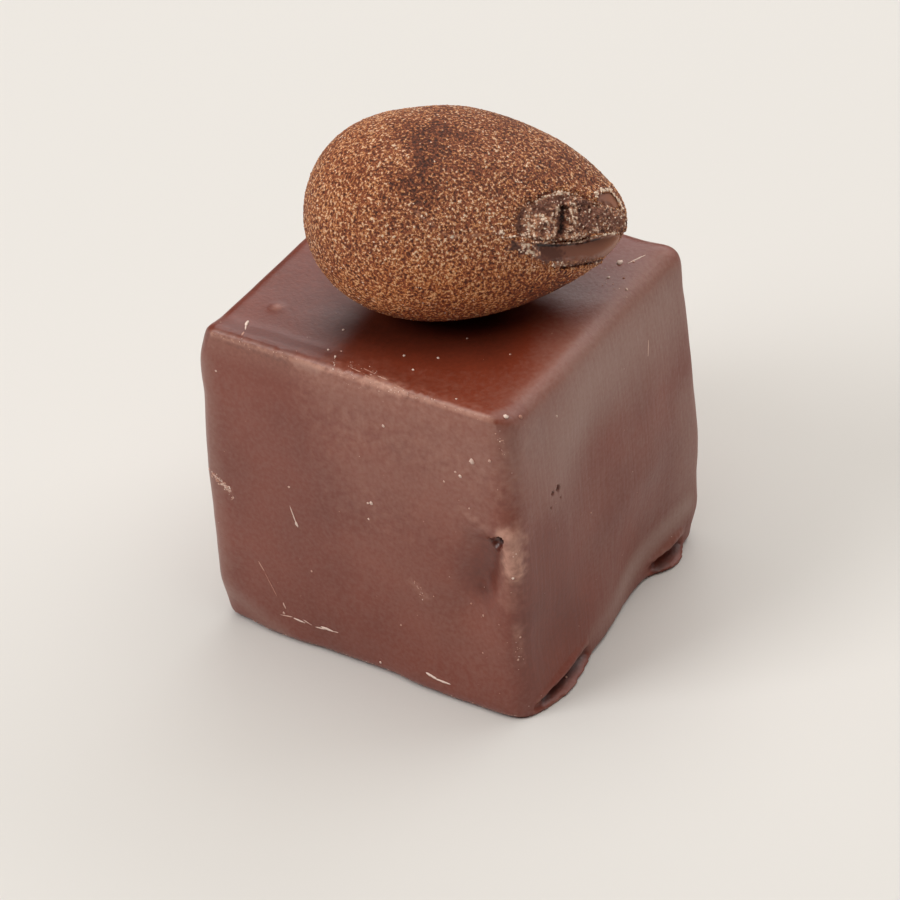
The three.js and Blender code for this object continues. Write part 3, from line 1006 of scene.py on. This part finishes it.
class BONBON_OT_crumbs(Operator):
    """Models the crumbs, slivers and scrapes that lie on the block's coat"""

    bl_idname = "bonbon.crumbs"
    bl_label = "Crumbs on the Coat"
    bl_options = {"REGISTER", "UNDO"}

    def execute(self, context):
        block = bpy.data.objects.get("chocolate_block")
        if block is None:
            raise RuntimeError("the block is modelled before its crumbs")
        rng = np.random.default_rng(CRUMB_SEED)
        found = list(CRUMBS)
        for start, end, half_width, count, size in CRUMB_TRAILS:
            for _ in range(count):
                place = np.array(start) + rng.random() * (np.array(end) - start)
                place = place + rng.normal(size=3) * half_width / 2
                found.append((tuple(place), size * rng.uniform(0.5, 1.3), rng.uniform(*TRAIL_TONES)))
        skin = places(block)
        above = np.nonzero(skin[:, 2] > 0.6)[0]
        for index in rng.choice(above, STRAY_CRUMBS, replace=False):
            found.append((tuple(skin[index]), rng.uniform(*STRAY_SIZES), rng.uniform(*STRAY_TONES)))
        rests = [on_surface(block, place) for place, _, _ in found]
        spots = np.array([spot for spot, _ in rests]) / MM
        normals = np.array([normal for _, normal in rests])
        sizes = np.array([size for _, size, _ in found])
        tones = np.array([tone for _, _, tone in found])
        crumbs = scatter("crumbs", spots, normals, sizes, tones, 0.6, CRUMB_SEED)
        slivers = [add_sliver(block, *sliver) for sliver in SLIVERS]
        crumbs = join([crumbs, *slivers])
        colours = context.scene.bonbon_block
        crumbed = loose_crumbs("Milk chocolate crumbs", colours.deep, colours.scuffed_and_highlight, colours.crumb)
        finish_piece(crumbs, "coat_crumbs", "milk_chocolate", crumbed)
        return {"FINISHED"}


# ---------- The almond ----------

CHIP_TURN = math.radians(36.2)  # how far above level the chip faces, across the almond

# The chip's parts, in millimetres along the almond to its tip and up across the chip's face.
PIT = (
    (3.75, -1.65), (3.75, -0.9), (3.95, 0.0), (4.4, 0.15), (4.45, 0.75), (5.0, 0.9), (6.1, 1.45),
    (6.5, 1.7), (7.2, 1.5), (7.9, 1.35), (8.4, 1.05), (9.2, 0.8), (9.8, 0.7), (10.4, 0.5),
    (10.9, 0.4), (11.4, -0.3), (11.3, -0.95), (10.6, -0.95), (9.9, -1.05), (9.3, -1.2),
    (8.6, -1.38), (8.0, -1.62), (7.2, -1.75), (6.2, -1.8), (5.1, -1.85), (4.2, -1.6),
)
SLOT = (
    (6.45, 0.1), (6.7, 0.6), (7.15, 0.6), (7.2, 0.0), (7.3, -0.5), (6.95, -1.05), (6.85, -1.7),
    (6.42, -1.7),
)
SIDE_SLOT = ((7.55, 0.6), (8.6, 0.65), (8.7, -0.2), (8.2, -0.9), (7.85, -0.8), (7.75, 0.0))
TIP_FACET = (
    (9.15, 1.1), (9.4, 1.55), (10.0, 1.7), (10.4, 1.3), (10.65, 0.75), (10.3, 0.68), (9.7, 0.85),
)
TIP_LIP = ((9.05, 1.55), (9.45, 1.85), (10.0, 1.95), (10.35, 1.5), (10.75, 1.05), (10.95, 0.55))
RIDGE = (
    (5.0, -1.98), (6.2, -1.95), (7.2, -1.9), (8.0, -1.78), (8.6, -1.52), (9.3, -1.33), (9.9, -1.18),
    (10.9, -1.02),
)
FACET = (
    (5.0, -2.2), (5.1, -2.05), (6.2, -2.0), (7.2, -1.95), (8.0, -1.85), (8.6, -1.6), (9.9, -1.25),
    (10.8, -1.15), (10.6, -2.0), (10.0, -2.6), (9.0, -2.95), (8.4, -3.05), (6.8, -3.2), (5.5, -3.2),
    (5.0, -2.9),
)
CRACK = ((6.7, -3.62), (7.2, -3.55), (8.0, -3.35), (9.0, -3.15), (9.6, -2.95), (10.3, -2.6))
LEFT_CRACK = ((3.0, -1.75), (3.6, -1.6), (4.3, -1.75), (5.0, -2.0))
CHIP_END = ((4.35, -2.3), (4.9, -2.8))
ROUGH_STRIP = ((6.3, -3.45), (9.3, -3.05))
SEAM = ((-3.24, -0.08), (-1.84, -1.15), (-0.9, -1.8), (0.8, -1.63), (2.6, -1.45))
CHIP_AREA = ((2.6, -4.0), (2.6, 2.2), (11.5, 2.6), (11.5, -4.0))
# The smooth facet's plane, by two points under the ridge and one below, and the box that cuts it.
FACET_PLANE = ((5.05, -1.95), (10.7, -1.08), (7.8, -3.15))
FACET_BOX = (8.5, 4.0, 3.0)


def inside(points, outline):
    """Which points lie inside an outline."""
    within = np.zeros(len(points), bool)
    for (x0, y0), (x1, y1) in zip(outline, outline[1:] + outline[:1]):
        crosses = (y0 > points[:, 1]) != (y1 > points[:, 1])
        if y0 != y1:
            crosses &= points[:, 0] < x0 + (points[:, 1] - y0) / (y1 - y0) * (x1 - x0)
        within ^= crosses
    return within


class ChipFace:
    """The chip's face on the lying almond: each vertex's place along and up it, and its rise."""

    def __init__(self, almond):
        spots = places(almond)
        self.level, self.up = -math.cos(CHIP_TURN), math.sin(CHIP_TURN)
        self.plan = np.stack([spots[:, 0], spots[:, 1] * self.up - spots[:, 2] * self.level], axis=1)
        self.rise = spots[:, 1] * self.level + spots[:, 2] * self.up
        self.near = (self.rise > -0.6) & (spots[:, 0] > 1.5) & (np.abs(self.plan[:, 1]) < 4.5)

    def places(self):
        """Each vertex's place along and up the face, and its rise."""
        return np.column_stack([self.plan, self.rise])

    def ragged(self, amount):
        """The vertices' places on the face, moved about so that outlines break unevenly."""
        plan = self.plan.copy()
        near = plan[self.near]
        offsets = [
            cloud(np.column_stack([near, np.full(len(near), seed)]), 0.35) for seed in (0.0, 7.0)
        ]
        plan[self.near] += amount * np.column_stack(offsets)
        return plan


def sink(almond, outline, depth, wall, ragged=0.15):
    """Sinks the coat inside an outline on the chip's face."""
    face = ChipFace(almond)
    edit_only(almond, face.near & inside(face.ragged(ragged), outline))
    bpy.ops.transform.translate(
        value=mm(0, -depth * face.level, -depth * face.up),
        use_proportional_edit=True,
        proportional_edit_falloff="SMOOTH",
        proportional_size=wall * MM,
    )
    leave_edit()


def lift_line(almond, path, height, reach):
    """Raises the coat along a line on the chip's face, or lowers it."""
    face = ChipFace(almond)
    away = from_path(face.plan, path)
    edit_only(almond, face.near & (away < ALMOND_STEP * 0.35))
    bpy.ops.transform.translate(
        value=mm(0, height * face.level, height * face.up),
        use_proportional_edit=True,
        proportional_edit_falloff="SHARP",
        proportional_size=reach * MM,
    )
    leave_edit()


def fullness(share):
    """The egg's half-thickness along its length, as a share of a ball's, before scaling."""
    return 1 - 0.272 * share - 0.123 * share**2


def almond_blank():
    """A ball drawn in ring by ring to the almond's egg shape, lying along X."""
    bpy.ops.object.select_all(action="DESELECT")
    bpy.ops.mesh.primitive_uv_sphere_add(
        segments=ALMOND_SEGMENTS,
        ring_count=ALMOND_RINGS,
        radius=1,
        rotation=(0, math.pi / 2, 0),
        scale=mm(ALMOND_THICKNESS / 2, ALMOND_WIDTH / 2, ALMOND_LENGTH / 2),
    )
    almond = bpy.context.object
    bpy.ops.object.transform_apply(location=True, rotation=True, scale=True)
    shares = np.linspace(0, 1, 201)
    fullest = (2 * np.sqrt(shares * (1 - shares)) * fullness(shares)).max()
    half = ALMOND_LENGTH / 2
    for ring in range(1, ALMOND_RINGS):
        along = -half * math.cos(math.pi * ring / ALMOND_RINGS)
        edit_only(almond, np.abs(places(almond)[:, 0] - along) < 0.01)
        drawn = fullness((along / half + 1) / 2) / fullest
        bpy.ops.transform.resize(value=(1, drawn, drawn), center_override=(0, 0, 0))
        leave_edit()
    modify(almond, "SUBSURF", levels=3, render_levels=3)
    press(almond, (0.5, 3.8, 5.2), (0, 0.15, 0.2), 5.0, to=(6.0, 3.2, 4.4))
    press(almond, (-8.0, 2.5, 4.0), (-0.12, 0.06, 0.1), 6.0)
    return almond


def cut_facet(almond, depth):
    """Cuts the smooth facet below the ridge with a turned box."""
    face = ChipFace(almond)
    outward = Vector((0, face.level, face.up))
    points = []
    for place, sunk in zip(FACET_PLANE, (depth, 0.9 * depth, 0.0)):
        away = np.linalg.norm(face.plan - place, axis=1)
        away[~face.near] = np.inf
        rise = face.rise[away.argmin()] - sunk
        up_face = Vector((0, face.up, -face.level))
        points.append(Vector((place[0], 0, 0)) + up_face * place[1] + outward * rise)
    ridge = (points[1] - points[0]).normalized()
    normal = ridge.cross(points[2] - points[0]).normalized()
    if normal.dot(outward) < 0:
        normal = -normal
    across = normal.cross(ridge)
    size = Vector(FACET_BOX)
    middle = points[0] + ridge * (size.x / 2) - across * (size.y / 2) + normal * (size.z / 2)
    bpy.ops.object.select_all(action="DESELECT")
    bpy.ops.mesh.primitive_cube_add(
        size=1,
        location=middle * MM,
        rotation=Matrix((ridge, across, normal)).transposed().to_euler(),
        scale=size * MM,
    )
    cutter = bpy.context.object
    modify(almond, "BOOLEAN", operation="DIFFERENCE", object=cutter, solver="EXACT")
    activate(cutter)
    bpy.ops.object.delete()


def chip_coat(almond, depth):
    """Breaks the coat at the chip: the pit, its slots, the facet by the tip and the cracks."""
    face = ChipFace(almond)
    refine(almond, face.near & inside(face.plan, CHIP_AREA))
    sink(almond, PIT, 0.6 * depth, 0.35, ragged=0.3)
    sink(almond, SLOT, 1.2 * depth, 0.2, ragged=0.12)
    sink(almond, SIDE_SLOT, 0.5 * depth, 0.3)
    sink(almond, TIP_FACET, 0.4 * depth, 0.12, ragged=0.06)
    lift_line(almond, TIP_LIP, 0.14, 0.35)
    lift_line(almond, RIDGE, 0.16, 0.22)
    lift_line(almond, CRACK, -0.25, 0.2)
    lift_line(almond, LEFT_CRACK, 0.12, 0.22)
    lift_line(almond, SEAM, 0.1, 0.25)
    face = ChipFace(almond)
    broken = (face.near & inside(face.plan, PIT)).astype(float)
    roughen(almond, "broken coat", grain=0.6, height=0.5, weights=broken)
    roughen(almond, "broken crumbs", grain=0.22, height=0.22, weights=broken)
    torn = np.minimum(from_path(face.plan, CHIP_END), from_path(face.plan, ROUGH_STRIP))
    near_ends = face.near * (1 - smooth_rise(torn, 0.2, 0.55))
    roughen(almond, "torn ends", grain=0.3, height=0.4, weights=near_ends)


# What the break shows: a line on the chip's face, its half-width and its tone, from dark to pale.
BREAK_MARKS = (
    (((4.4, -0.4), (4.8, -1.4)), 0.5, 0.68),
    (((5.3, -0.7), (5.4, -1.2)), 0.3, 0.48),
    (((5.85, -1.0), (5.85, -1.7)), 0.28, 0.66),
    # painted shade on the pit's left wall
    (((3.8, -1.0), (3.9, -0.2), (4.25, 0.25)), 0.2, 0.3),
    (((5.0, 0.3), (5.8, 0.7), (6.3, 0.9)), 0.3, 0.38),
    # painted shade in the slots
    (((6.8, 0.45), (6.75, -0.3), (6.65, -1.2)), 0.2, 0.0),
    (((7.9, 0.45), (8.0, -0.3)), 0.12, 0.08),
    (((8.45, 0.45), (8.5, -0.5)), 0.5, 0.34),
    (((9.3, 0.2), (10.6, -0.3)), 0.5, 0.42),
    (((7.2, -1.5), (8.5, -1.25)), 0.16, 0.72),
    # painted highlights on the slots' edges
    (((6.4, 0.4), (6.36, -0.5), (6.3, -1.4)), 0.08, 0.9),
    (((7.3, 0.45), (7.5, -0.1), (7.6, -0.5), (7.75, -0.9)), 0.07, 0.98),
    (((7.3, -0.4), (7.1, -0.9)), 0.05, 0.8),
    (((5.4, -0.4), (5.75, -0.55), (5.9, -0.8)), 0.07, 1.0),
    (((4.95, -0.1), (5.05, -0.1)), 0.1, 1.0),
    (((4.5, -0.6), (4.6, -1.0), (4.5, -1.4)), 0.07, 0.95),
    (((5.0, -1.5), (5.4, -1.7)), 0.06, 0.9),
    (((4.2, -0.2), (4.4, 0.4), (5.0, 0.85)), 0.07, 0.58),
    (((5.0, 0.85), (5.8, 1.25), (6.4, 1.6), (7.2, 1.5)), 0.08, 0.75),
    (((7.2, 1.5), (8.0, 1.25), (8.8, 0.95), (9.8, 0.7), (10.6, 0.5)), 0.06, 0.6),
    (((3.5, -2.3), (4.1, -2.5)), 0.4, 0.15),
    (((5.3, -2.5), (6.3, -2.7)), 0.7, 0.28),
    (((4.35, -2.25), (4.6, -2.5), (5.0, -2.75)), 0.4, 0.95),
    (((6.3, -3.45), (9.3, -3.05)), 0.2, 0.55),
    # painted shadow under the ridge, and painted shade along the crack
    (((5.2, -2.15), (6.4, -2.12), (7.4, -2.0)), 0.09, 0.1),
    (((7.4, -2.0), (8.2, -1.88), (9.4, -1.5)), 0.05, 0.14),
    (((6.7, -3.62), (8.0, -3.35), (9.6, -2.95), (10.3, -2.6)), 0.05, 0.1),
    (((2.55, -1.5), (2.7, -1.1), (2.8, -1.8)), 0.09, 0.95),
    (((2.0, -1.0), (2.3, -1.15)), 0.08, 0.8),
    (((0.7, -1.7), (0.85, -1.55)), 0.09, 0.85),
    (((-0.75, -1.85), (-0.45, -1.75)), 0.13, 1.0),
    # the tip's lip: pale broken edge, partly painted highlight
    (((9.05, 1.55), (9.45, 1.85), (10.0, 1.95)), 0.17, 1.0),
    (((10.0, 1.95), (10.35, 1.5), (10.75, 1.05), (10.95, 0.55)), 0.09, 0.9),
)
SEAM_TONE = 0.7
# painted highlights along the ridge and the left crack
PAINTED_HIGHLIGHT_LINES = ((RIDGE, 0.06, 0.85), (LEFT_CRACK, 0.06, 0.8))
FACET_TONE = 0.47
PIT_TONE = 0.52


def paint_break(almond, face):
    """Marks what the fresh break shows, with its painted shade and painted highlights, and returns
    where the coat is bare of dust.
    """
    near = face.near | ((face.rise > 0) & (np.abs(face.plan[:, 1]) < 4.5) & (face.plan[:, 0] > -4))
    plan = face.ragged(0.25)
    pit = face.near & inside(plan, PIT)
    smooth = face.near & (inside(face.plan, FACET) | inside(face.plan, TIP_FACET))
    bare = (pit | smooth).astype(float)
    tone = np.full(len(plan), PIT_TONE)
    spots = np.column_stack([plan, np.zeros(len(plan))])[face.near]
    tone[face.near] += 0.35 * cloud(spots, 0.6) + 0.45 * cloud(spots, 0.25)
    tone[smooth] = FACET_TONE + 0.05 * (plan[smooth, 0] - 7)
    uneven = np.zeros(len(plan))
    broken_up = np.ones(len(plan))
    on_face = face.places()[near]
    uneven[near] = cloud(on_face, 0.22)
    broken_up[near] = (0.85 + 1.2 * cloud(on_face + 5, 0.3)).clip(0.2, 1)
    for path, half_width, shade in (*BREAK_MARKS, *PAINTED_HIGHLIGHT_LINES):
        away = np.where(near, from_path(plan if half_width > 0.2 else face.plan, path), np.inf)
        away = away + 0.9 * half_width * uneven
        shown = 1 - smooth_rise(away, 0.4 * half_width, 1.2 * half_width)
        if shade > 0.6:  # pale lines are broken up
            shown = shown * broken_up
        tone += shown * (shade - tone)
        bare = np.maximum(bare, shown)
    seam = np.where(near, from_path(face.plan, SEAM), np.inf)
    seam[near] += 0.12 * cloud(on_face, 0.4)
    shown = 0.7 * (1 - smooth_rise(seam, 0.02, 0.1))
    tone += shown * (SEAM_TONE - tone)
    bare = np.maximum(bare, shown)
    paint(almond, "tone", tone.clip(0, 1))
    paint(almond, "bare", bare)
    paint(almond, "smooth", smooth)
    return bare


# Where handling left less dust: the middle on the chip's face, its reach and how bare it is.
BARE_PATCHES = (
    ((-3.2, 2.0), 2.8, 0.5),
    ((-1.2, 0.2), 1.8, 0.1),
    ((-2.6, 4.6), 3.0, 0.45),
    ((0.6, 3.4), 3.0, 0.2),
    ((5.8, 2.8), 2.2, 0.35),
    ((2.6, 0.4), 2.0, 0.1),
    ((3.0, 6.0), 4.5, 0.15),
)


def paint_dust(almond, face, bare):
    """Marks how much dust lies where and how golden it is, with painted shade low by the tip and
    underneath and painted bounce light round the lower side.
    """
    along, up_face = face.plan[:, 0], face.plan[:, 1]
    dust = np.ones(len(along))
    uneven = cloud(face.places(), 1.5)
    for place, reach, bared in BARE_PATCHES:
        away = from_line(face.plan, place, place) + 0.5 * reach * uneven
        dust -= bared * (1 - smooth_rise(away, 0.2 * reach, reach))
    dust += 0.14 * (1 - smooth_rise(from_line(face.plan, (-1, 0), (3, 0)), 0, 4))
    dust = np.where(face.rise > -2, dust, 1).clip(0.12, 1.3)
    # painted shade: less dust, and so a darker coat, low by the tip, and hardly any underneath
    shaded = smooth_rise(along, 2, 7) * (1 - smooth_rise(up_face, -5.5, -3.4))
    under = 1 - smooth_rise(places(almond)[:, 2], -6.0, -3.0)
    # warmer and thicker at the blunt end and round the lower side, where the golden, lighter look
    # is painted bounce light
    blunt_end = 1 - smooth_rise(along, -9.0, -2.0)
    lower_side = 1 - smooth_rise(up_face, -6.0, 0.0)
    warm_and_bounce_lit = np.maximum(0.45 * blunt_end, 0.9 * lower_side)
    dust = (dust * (0.77 + 0.45 * warm_and_bounce_lit) * (1 - 0.85 * shaded) - 0.8 * under).clip(0.02, 1.6)
    paint(almond, "dust", dust * (1 - bare))
    paint(almond, "warm_and_bounce_lit", warm_and_bounce_lit)


def place_almond(almond, settings):
    """Turns the almond to its heading and sets it on the block's top."""
    activate(almond)
    almond.scale = (
        settings.length / (ALMOND_LENGTH * MM),
        settings.width / (ALMOND_WIDTH * MM),
        settings.thickness / (ALMOND_THICKNESS * MM),
    )
    bpy.ops.object.transform_apply(location=False, rotation=False, scale=True)
    almond.rotation_euler = (0, settings.droop, settings.heading)
    bpy.ops.object.transform_apply(location=False, rotation=True, scale=False)
    lift = ALMOND_BOX[0].z / MM - ALMOND_SINK - places(almond)[:, 2].min()
    almond.location = mm(*ALMOND_CENTRE, lift)
    bpy.ops.object.transform_apply(location=True, rotation=False, scale=False)
    edit_only(almond, places(almond)[:, 2] < TOP)
    bpy.ops.transform.resize(value=(1, 1, 0), center_override=mm(0, 0, TOP))
    leave_edit()


class BONBON_OT_almond(Operator):
    """Models the coated almond, with the chip in its coat"""

    bl_idname = "bonbon.almond"
    bl_label = "Coated Almond"
    bl_options = {"REGISTER", "UNDO"}

    def execute(self, context):
        settings = context.scene.bonbon_almond
        almond = almond_blank()
        cut_facet(almond, settings.chip / MM)
        modify(almond, "REMESH", mode="VOXEL", voxel_size=ALMOND_STEP * MM)
        modify(almond, "SMOOTH", factor=0.5, iterations=2)
        chip_coat(almond, settings.chip / MM)
        face = ChipFace(almond)
        paint_dust(almond, face, paint_break(almond, face))
        roughen(almond, "uneven dusting", 0.35, 0.1, painted(almond, "dust"))
        place_almond(almond, settings)
        finish_piece(
            almond,
            "almond_coat",
            "cocoa_dusted_chocolate",
            cocoa_dusted_chocolate(settings),
            "coated_almond",
        )
        return {"FINISHED"}


DUST_SEED = 5
GRAIN_SIZES = (0.08, 0.16)
GRAIN_TONES = (0.4, 0.3)  # middle and spread
CHIP_CRUMBS = 900
CHIP_CRUMB_SIZES = (0.07, 0.2)
CHIP_CRUMB_TONES = (0.2, 0.3)  # middle and spread, on top of the tone that they lie on
LARGER_SHARE, LARGER_BY = 0.12, 0.5  # how many of them are larger, and by how much
CRUMBS_IN_PIT = 0.06  # how likely a crumb lies in a dark part of the break, against a pale one


class BONBON_OT_dust(Operator):
    """Scatters the loose grains of dust on the almond and the crumbs in its chip"""

    bl_idname = "bonbon.dust"
    bl_label = "Dust and Chip Crumbs"
    bl_options = {"REGISTER", "UNDO"}

    def execute(self, context):
        almond = bpy.data.objects.get("almond_coat")
        if almond is None:
            raise RuntimeError("the almond is modelled before its dust")
        settings = context.scene.bonbon_almond
        rng = np.random.default_rng(DUST_SEED)
        skin, normals = places(almond), surface_normals(almond)
        dust = painted(almond, "dust")
        bare, tone = painted(almond, "bare"), painted(almond, "tone")
        smooth = painted(almond, "smooth")
        likely = np.where(skin[:, 2] > TOP + 0.3, 0.1 + 0.9 * dust, 0) * (bare < 0.3)
        chosen = rng.choice(len(skin), settings.grains, replace=False, p=likely / likely.sum())
        sizes = rng.uniform(*GRAIN_SIZES, len(chosen))
        tones = np.clip(rng.normal(*GRAIN_TONES, len(chosen)), 0, 1)
        grains = scatter("grains", skin[chosen], normals[chosen], sizes, tones, 0.6, DUST_SEED)
        powder = loose_crumbs("Cocoa and gold dust", settings.cocoa, settings.gold, settings.pale)
        finish_piece(grains, "dust_grains", "cocoa_dusted_chocolate", powder)
        likely = bare * (1 - smooth) * (CRUMBS_IN_PIT + tone**3)
        chosen = rng.choice(len(skin), CHIP_CRUMBS, replace=False, p=likely / likely.sum())
        sizes = rng.uniform(*CHIP_CRUMB_SIZES, len(chosen))
        sizes *= 1 + LARGER_BY * (rng.random(len(chosen)) < LARGER_SHARE)
        tones = np.clip(rng.normal(*CHIP_CRUMB_TONES, len(chosen)) + tone[chosen], 0, 1)
        crumbs = scatter("crumbs", skin[chosen], normals[chosen], sizes, tones, 0.7, DUST_SEED + 1)
        broken_coat = loose_crumbs("Broken coat crumbs", settings.coat, settings.broken, settings.pale)
        finish_piece(crumbs, "chip_crumbs", "cocoa_dusted_chocolate", broken_coat)
        return {"FINISHED"}


# ---------- Stage ----------

CAMERA_AZIMUTH, CAMERA_ELEVATION, CAMERA_ROLL = 34.2, 36.0, -4.6
CAMERA_DISTANCE = 500.0
CAMERA_TARGET = (0, 0, 12.7)
PICTURE_OFFSET = (-0.306, -1.095)  # from the target to the middle of the picture, right and up
PIXELS_PER_MM = 14.06
PICTURE_WIDTH = 900
SENSOR = 36.0
CEILING_COLOUR = "#f8f4ec"
FLOOR_SIZE = 4.0  # in metres


def add_camera():
    """A long lens at the photograph's viewing angle."""
    turn = (
        Matrix.Rotation(math.radians(CAMERA_AZIMUTH), 3, "Z")
        @ Matrix.Rotation(math.radians(90 - CAMERA_ELEVATION), 3, "X")
        @ Matrix.Rotation(math.radians(CAMERA_ROLL), 3, "Z")
    )
    offset = turn @ Vector((*PICTURE_OFFSET, CAMERA_DISTANCE))
    place = (Vector(CAMERA_TARGET) + offset) * MM
    bpy.ops.object.camera_add(location=place, rotation=turn.to_euler())
    camera = bpy.context.object
    camera.name = "photo_camera"
    camera.data.sensor_width = SENSOR
    camera.data.lens = PIXELS_PER_MM * CAMERA_DISTANCE * SENSOR / PICTURE_WIDTH
    camera.data.clip_start, camera.data.clip_end = 0.01, 10.0
    bpy.context.scene.camera = camera


def add_softbox(name, place, aim, size, power):
    """A large soft light, aimed at a place. Its place, aim and size are in millimetres."""
    place, aim = mm(*place), mm(*aim)
    turn = (aim - place).to_track_quat("-Z", "Y").to_euler()
    bpy.ops.object.light_add(type="AREA", location=place, rotation=turn)
    light = bpy.context.object
    light.name = name
    light.data.shape = "RECTANGLE"
    light.data.size, light.data.size_y = size[0] * MM, size[1] * MM
    light.data.energy = power
    light.visible_camera = False


def light_room(scene, strength):
    """A soft room: dark round the sides, with a bright ceiling that fades in high up."""
    world = bpy.data.worlds.new("Soft room")
    scene.world = world
    world.use_nodes = True
    tree = world.node_tree
    tree.nodes.clear()
    coords = add(tree, "TexCoord").outputs["Generated"]
    parts = add(tree, "SeparateXYZ", {0: coords})
    rise = add(
        tree,
        "MapRange",
        {
            "Value": parts.outputs["Z"],
            "From Min": 0.74,
            "From Max": 0.86,
            "To Min": 0.02,
            "To Max": 1.0,
        },
        interpolation_type="SMOOTHSTEP",
    )
    level = add(tree, "Math", {0: rise, 1: strength}, operation="MULTIPLY")
    sky = add(tree, "Background", {"Color": linear(CEILING_COLOUR), "Strength": level})
    add(tree, "OutputWorld", {"Surface": sky})


class BONBON_OT_stage(Operator):
    """Sets the pale floor, the soft lights and the camera"""

    bl_idname = "bonbon.stage"
    bl_label = "Stage"
    bl_options = {"REGISTER", "UNDO"}

    def execute(self, context):
        settings = context.scene.bonbon_stage
        bpy.ops.object.select_all(action="DESELECT")
        bpy.ops.mesh.primitive_plane_add(size=FLOOR_SIZE)
        floor = bpy.context.object
        floor.name = "studio_floor"
        # matt pale paper, which takes soft shadows and shows no reflection
        paper, tree = new_tree("Matt white paper")
        shader = add(tree, "BsdfPrincipled", {"Base Color": settings.floor, "Roughness": 0.9})
        add(tree, "OutputMaterial", {"Surface": shader})
        floor.data.materials.append(paper)
        light_room(context.scene, settings.room)
        add_softbox("back_softbox", (40, 380, 290), (0, 0, 15), (880, 200), settings.back)
        add_softbox("front_softbox", (-170, -260, 300), (0, 0, 15), (170, 170), settings.front)
        add_camera()
        context.scene.view_settings.view_transform = "Standard"
        return {"FINISHED"}


# ---------- Add-on ----------


class BONBON_PT_tools(Panel):
    """Lists the bonbon's pieces, the stage and their settings"""

    bl_label = "Chocolate Bonbon"
    bl_idname = "BONBON_PT_tools"
    bl_space_type = "VIEW_3D"
    bl_region_type = "UI"
    bl_category = "Bonbon"

    def draw(self, context):
        for operator in OPERATORS:
            self.layout.operator(operator.bl_idname)
        for name in SETTINGS:
            group = getattr(context.scene, name)
            box = self.layout.box()
            for prop in group.bl_rna.properties:
                if prop.identifier not in ("rna_type", "name"):
                    box.prop(group, prop.identifier)


OPERATORS = (BONBON_OT_block, BONBON_OT_crumbs, BONBON_OT_almond, BONBON_OT_dust, BONBON_OT_stage)
SETTINGS = {
    "bonbon_block": BONBON_PG_block,
    "bonbon_almond": BONBON_PG_almond,
    "bonbon_stage": BONBON_PG_stage,
}
CLASSES = (*SETTINGS.values(), *OPERATORS, BONBON_PT_tools)


def register():
    """Adds the classes, and keeps the settings on the scene."""
    for cls in CLASSES:
        bpy.utils.register_class(cls)
    for name, cls in SETTINGS.items():
        setattr(bpy.types.Scene, name, PointerProperty(type=cls))


def unregister():
    """Removes the settings and the classes again."""
    for name in SETTINGS:
        delattr(bpy.types.Scene, name)
    for cls in reversed(CLASSES):
        bpy.utils.unregister_class(cls)


def main():
    """Makes every piece."""
    register()
    bpy.ops.bonbon.block()
    bpy.ops.bonbon.crumbs()
    bpy.ops.bonbon.almond()
    bpy.ops.bonbon.dust()
    bpy.ops.bonbon.stage()


if __name__ == "__main__":
    main()
